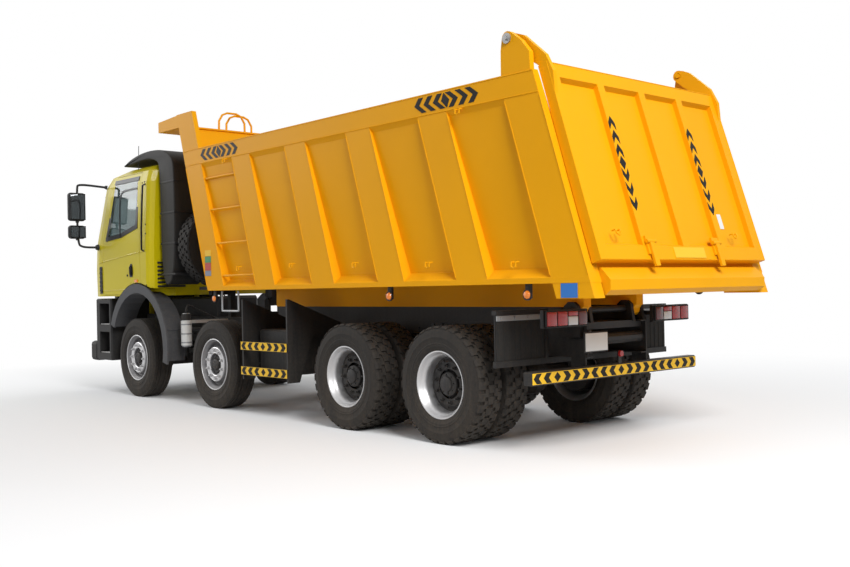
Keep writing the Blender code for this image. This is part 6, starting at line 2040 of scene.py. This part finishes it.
    def _lamps(self) -> None:
        """Headlamps and turn lamps let into the bumper."""
        bowls, lenses, amber = Shape(), Shape(), Shape()
        x = local(1.416)
        for side in Side:
            bowls.box((x - 0.01, x + 0.0035), side.band(0.7, 1.12), (0.545, 0.715), 0.003, 1)
            for y in (0.782, 0.925):
                y *= side.value
                lenses.rod((x - 0.004, y, 0.63), (x + 0.006, y, 0.63), 0.068, 0.06, sides=36)
            amber.box((x - 0.004, x + 0.006), side.band(1.015, 1.105), (0.56, 0.7), 0.004)
        self.shop.finish(bowls, "headlamp_housings", "chassis", Paint.GLOSS_BLACK)
        self.shop.finish(lenses, "headlamp_lenses", "chassis", Paint.LENS_CLEAR)
        self.shop.finish(amber, "front_turn_lamps", "chassis", Paint.LENS_AMBER)

    def _intake_bands(self) -> None:
        """Air intake whose rounded hood curves forward over the roof, with its bands."""
        hood, bands = Shape(), Shape()
        ring = [(local(x), z) for x, z in eased(self.hood, 2, True)]
        hood.cushioned_slab(ring, *self.hood_y, 0.018)
        for z in (1.7, 2.85):
            hood.box(span(-0.606, -0.5205), (0.72, 0.8), (z, z + 0.05), 0.004, 1)
        self.shop.finish(hood, "air_intake_hood", "cab", Paint.HOSE, "air_intake", smooth_angle=50.0)
        for z in (1.62, 2.02, 2.42, 2.82):
            bands.box(span(-0.985, -0.594), (0.636, 1.084), (z, z + 0.03), 0.008, 3)
        self.shop.finish(bands, "intake_bands", "cab", Paint.PLASTIC)

    def _lining(self) -> None:
        """Grey lining of the roof and the rear wall, with battens on the wall."""
        shape = Shape().box(span(-0.466, -0.448), (-1.12, 1.12), (1.64, 2.96), 0.006)
        for z in (1.9, 2.3, 2.7):
            shape.box(span(-0.452, -0.44), (-1.06, 1.06), (z, z + 0.03), 0.004)
        shape.box(span(-0.44, 0.56), (-0.93, 0.93), (3.028, 3.044), 0.006)
        self.shop.finish(shape, "cab_lining", "cab", Paint.TRIM)

    def _instruments(self) -> None:
        """Dials behind the steering wheel and vents along the dash."""
        dark, dials = Shape(), Shape()
        for y in (0.42, 0.56, 0.7):
            dials.rod((local(0.776), y, 1.985), (local(0.782), y, 1.985), 0.045, sides=32)
        for y in (-0.85, -0.55, -0.25, 0.05):
            dark.box(span(0.792, 0.812), (y, y + 0.16), (1.925, 1.965), 0.004)
        self.shop.finish(dark, "dash_vents", "cab", Paint.GLOSS_BLACK)
        self.shop.finish(dials, "dash_dials", "cab", Paint.GLOSS_BLACK)


@dataclass
class Seats:
    """Two suspended seats with padded cushions, and the engine cover between them."""

    shop: Workshop
    seat_x: float = 0.02
    seat_y: float = 0.56
    floor_z: float = 1.6003
    cuts: int = 11

    def build(self) -> None:
        """Build the bases, the cover and all cushions."""
        base = Shape()
        x = local(self.seat_x)
        base.box((x - 0.35, x + 0.42), (-0.33, 0.33), (self.floor_z, 1.8), 0.035, 3)
        for side in Side:
            y = side.value * self.seat_y
            base.box((x - 0.19, x + 0.19), (y - 0.2, y + 0.2), (self.floor_z, 1.69), 0.012)
            for i in range(4):
                z = 1.692 + i * 0.022
                base.box((x - 0.165, x + 0.165), (y - 0.18, y + 0.18), (z, z + 0.014), 0.006)
            base.box((x - 0.23, x + 0.24), (y - 0.235, y + 0.235), (1.776, 1.8), 0.008)
            for edge in (-0.06, 0.06):
                base.rod((x - 0.268, y + edge, 2.36), (x - 0.268, y + edge, 2.47), 0.007, sides=12)
        self.shop.finish(base, "seat_bases", "cab", Paint.TRIM, "seats")
        for side in Side:
            y = side.value * self.seat_y
            for name, place, size, face, crown, channels in (
                ("seat_cushion", (x - 0.215, y, 1.855), (0.485, 0.49, 0.12), 2, 0.022, 4),
                ("seat_back", (x - 0.265, y, 2.14), (0.118, 0.47, 0.64), 0, 0.02, 5),
                ("head_rest", (x - 0.272, y, 2.56), (0.09, 0.25, 0.2), 0, 0.014, 0),
            ):
                self._cushion(f"{name}_{side.label}", place, size, face, crown, channels)

    def _cushion(self, name: str, place: Point3, size: Point3, face: int, crown: float,
                 channels: int) -> None:
        """Add one padded cushion: crowned, with sides that pull in and sewn channels.

        Args:
            name: Piece name.
            place: Middle of the cushion; for a seat, its rear edge's middle height.
            size: Its extent along X, Y and Z.
            face: Axis that its sat-on face looks along.
            crown: Height of the crown.
            channels: Number of sewn channels across it.
        """
        shape = Shape()
        bmesh.ops.create_cube(shape.bm, size=2.0)
        bmesh.ops.subdivide_edges(shape.bm, edges=shape.bm.edges, cuts=self.cuts, use_grid_fill=True)
        middle = Vector(place)
        if face == 2:
            middle.x += size[0] / 2
        others = [axis for axis in range(3) if axis != face]
        long_axis = 0 if face == 2 else 2
        for vert in shape.bm.verts:
            at = vert.co.copy()
            full = [1 - at[axis] ** 4 * 0.1 for axis in range(3)]
            moved = Vector((0.0, 0.0, 0.0))
            for axis in range(3):
                a, b = (other for other in range(3) if other != axis)
                pull = 1.0 - 0.035 * (1 - at[a] ** 2) * (abs(at[axis]) ** 3) * (0 if axis == face else 1)
                moved[axis] = at[axis] * size[axis] / 2 * full[a] * full[b] * pull
            swell = (1 - at[others[0]] ** 4) * (1 - at[others[1]] ** 4)
            if at[face] > 0.5:
                groove = 0.0
                if channels and abs(at.y) < 0.82:
                    groove = 0.006 * max(0.0, math.cos(math.pi * channels * (at[long_axis] + 1))) ** 6
                moved[face] += crown * swell - groove
            vert.co = middle + moved
        piece = self.shop.finish(shape, name, "cab", Paint.SEAT, smooth_angle=80.0)
        smooth = piece.modifiers.new("soften", "SUBSURF")
        smooth.levels = smooth.render_levels = 1


# Room, light and camera


@dataclass
class Studio:
    """Pale floor, soft light and the photograph's camera."""

    place: Point3 = (-9.314, 7.166, 1.4)
    yaw: float = -41.855
    pitch: float = 0.213
    roll: float = -1.158
    lens: float = 41.86
    sensor: float = 36.0
    lamps: tuple[tuple[str, Point3, float, float], ...] = (
        ("key", (-13.0, 4.5, 9.5), 5.0, 1750.0),
        ("front_fill", (11.0, 6.0, 7.0), 7.0, 520.0),
        ("far_fill", (2.0, -11.0, 7.0), 8.0, 380.0),
    )
    target: Point3 = (-0.5, 0.0, 1.5)
    room_colour: Point3 = (0.93, 0.96, 1.0)
    room_strength: float = 0.42
    floor_radius: float = 90.0
    floor_pale: float = 0.9
    floor_fade: Point2 = (4.8, 10.5)

    def build(self) -> None:
        """Make the room, the lamps and the camera."""
        self._camera()
        self._world()
        self._floor()
        for name, place, size, power in self.lamps:
            self._lamp(name, place, size, power)

    def _camera(self) -> None:
        """Camera at the photograph's place, turned by its yaw, pitch and roll."""
        yaw, pitch, roll = (math.radians(angle) for angle in (self.yaw, self.pitch, self.roll))
        ahead = Vector((math.cos(pitch) * math.cos(yaw), math.cos(pitch) * math.sin(yaw), math.sin(pitch)))
        right = ahead.cross(UP).normalized()
        above = right.cross(ahead)
        across = math.cos(roll) * right + math.sin(roll) * above
        upward = math.cos(roll) * above - math.sin(roll) * right
        turn = Matrix((across, upward, -ahead)).transposed().to_4x4()
        data = bpy.data.cameras.new("photo_camera")
        data.sensor_width = self.sensor
        data.lens = self.lens
        data.clip_end = 200.0
        camera = bpy.data.objects.new("photo_camera", data)
        camera.matrix_world = Matrix.Translation(self.place) @ turn
        bpy.context.scene.collection.objects.link(camera)
        bpy.context.scene.camera = camera

    def _world(self) -> None:
        """Soft white room light; camera, glossy and transmitted rays see plain white."""
        world = bpy.data.worlds.new("studio_room")
        world.use_nodes = True
        bpy.context.scene.world = world
        world.node_tree.nodes.clear()
        build = NodeBuilder(world.node_tree)
        mix = build.node("ShaderNodeMixShader")
        build.link(build.seen_by_lens(), mix.inputs[0])
        for slot, colour, strength in ((1, self.room_colour, self.room_strength),
                                       (2, (1.0, 1.0, 1.0), 1.0)):
            light = build.node("ShaderNodeBackground")
            build.fill(light, {"Color": (*colour, 1.0), "Strength": strength})
            build.link(light.outputs[0], mix.inputs[slot])
        build.link(mix.outputs[0], build.node("ShaderNodeOutputWorld").inputs[0])

    def _floor(self) -> None:
        """Large pale disc that keeps the shadow and fades to white far out."""
        shape = bmesh.new()
        bmesh.ops.create_circle(shape, cap_ends=True, segments=96, radius=self.floor_radius)
        mesh = bpy.data.meshes.new("floor")
        shape.to_mesh(mesh)
        shape.free()
        floor = bpy.data.objects.new("floor", mesh)
        bpy.context.scene.collection.objects.link(floor)
        made = bpy.data.materials.new("pale_floor")
        made.use_nodes = True
        build = NodeBuilder(made.node_tree)
        shader = made.node_tree.nodes["Principled BSDF"]
        pale = self.floor_pale
        build.fill(shader, {"Base Color": (pale, pale, pale, 1.0), "Roughness": 0.9})
        glow = build.node("ShaderNodeEmission")
        build.link(build.seen_by_lens(), glow.inputs["Strength"])
        place = build.node("ShaderNodeTexCoord")
        length = build.node("ShaderNodeVectorMath", operation="LENGTH")
        build.link(place.outputs["Object"], length.inputs[0])
        mix = build.node("ShaderNodeMixShader")
        build.link(build.ramp(length.outputs["Value"], *self.floor_fade), mix.inputs[0])
        build.link(shader.outputs[0], mix.inputs[1])
        build.link(glow.outputs[0], mix.inputs[2])
        build.link(mix.outputs[0], made.node_tree.nodes["Material Output"].inputs["Surface"])
        mesh.materials.append(made)
        floor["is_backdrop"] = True

    def _lamp(self, name: str, place: Point3, size: float, power: float) -> None:
        """Add a square soft lamp aimed at the truck.

        Args:
            name: Its name.
            place: Where it hangs.
            size: Edge length.
            power: Power in watts.
        """
        data = bpy.data.lights.new(name, "AREA")
        data.energy = power
        data.size = size
        lamp = bpy.data.objects.new(name, data)
        aim = Vector(self.target) - Vector(place)
        lamp.matrix_world = Matrix.Translation(place) @ aim.to_track_quat("-Z", "Y").to_matrix().to_4x4()
        bpy.context.scene.collection.objects.link(lamp)


def keep_sizes() -> None:
    """Update the view layer.
    """
    bpy.context.view_layer.update()


def main() -> None:
    """Build the truck's looks in order."""
    logging.basicConfig(level=logging.INFO, format="%(name)s: %(message)s")
    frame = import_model()
    bpy.context.view_layer.update()
    cad = [corner.copy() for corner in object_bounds()]
    scene = bpy.context.scene
    scene.view_settings.view_transform = "Standard"
    Studio().build()
    shop = Workshop(Palette(), frame)
    wheels = Wheels(shop)
    wheels.build()
    wheels.spare(local(SPARE_PLACE[0]), *SPARE_PLACE[1:])
    for kind in (TippingBody, Tailgate, RearEnd, Running, Cab, Seats):
        kind(shop).build()
        LOG.info("%s done, %d pieces so far", kind.__name__, shop.count)
    keep_sizes()


if __name__ == "__main__":
    main()
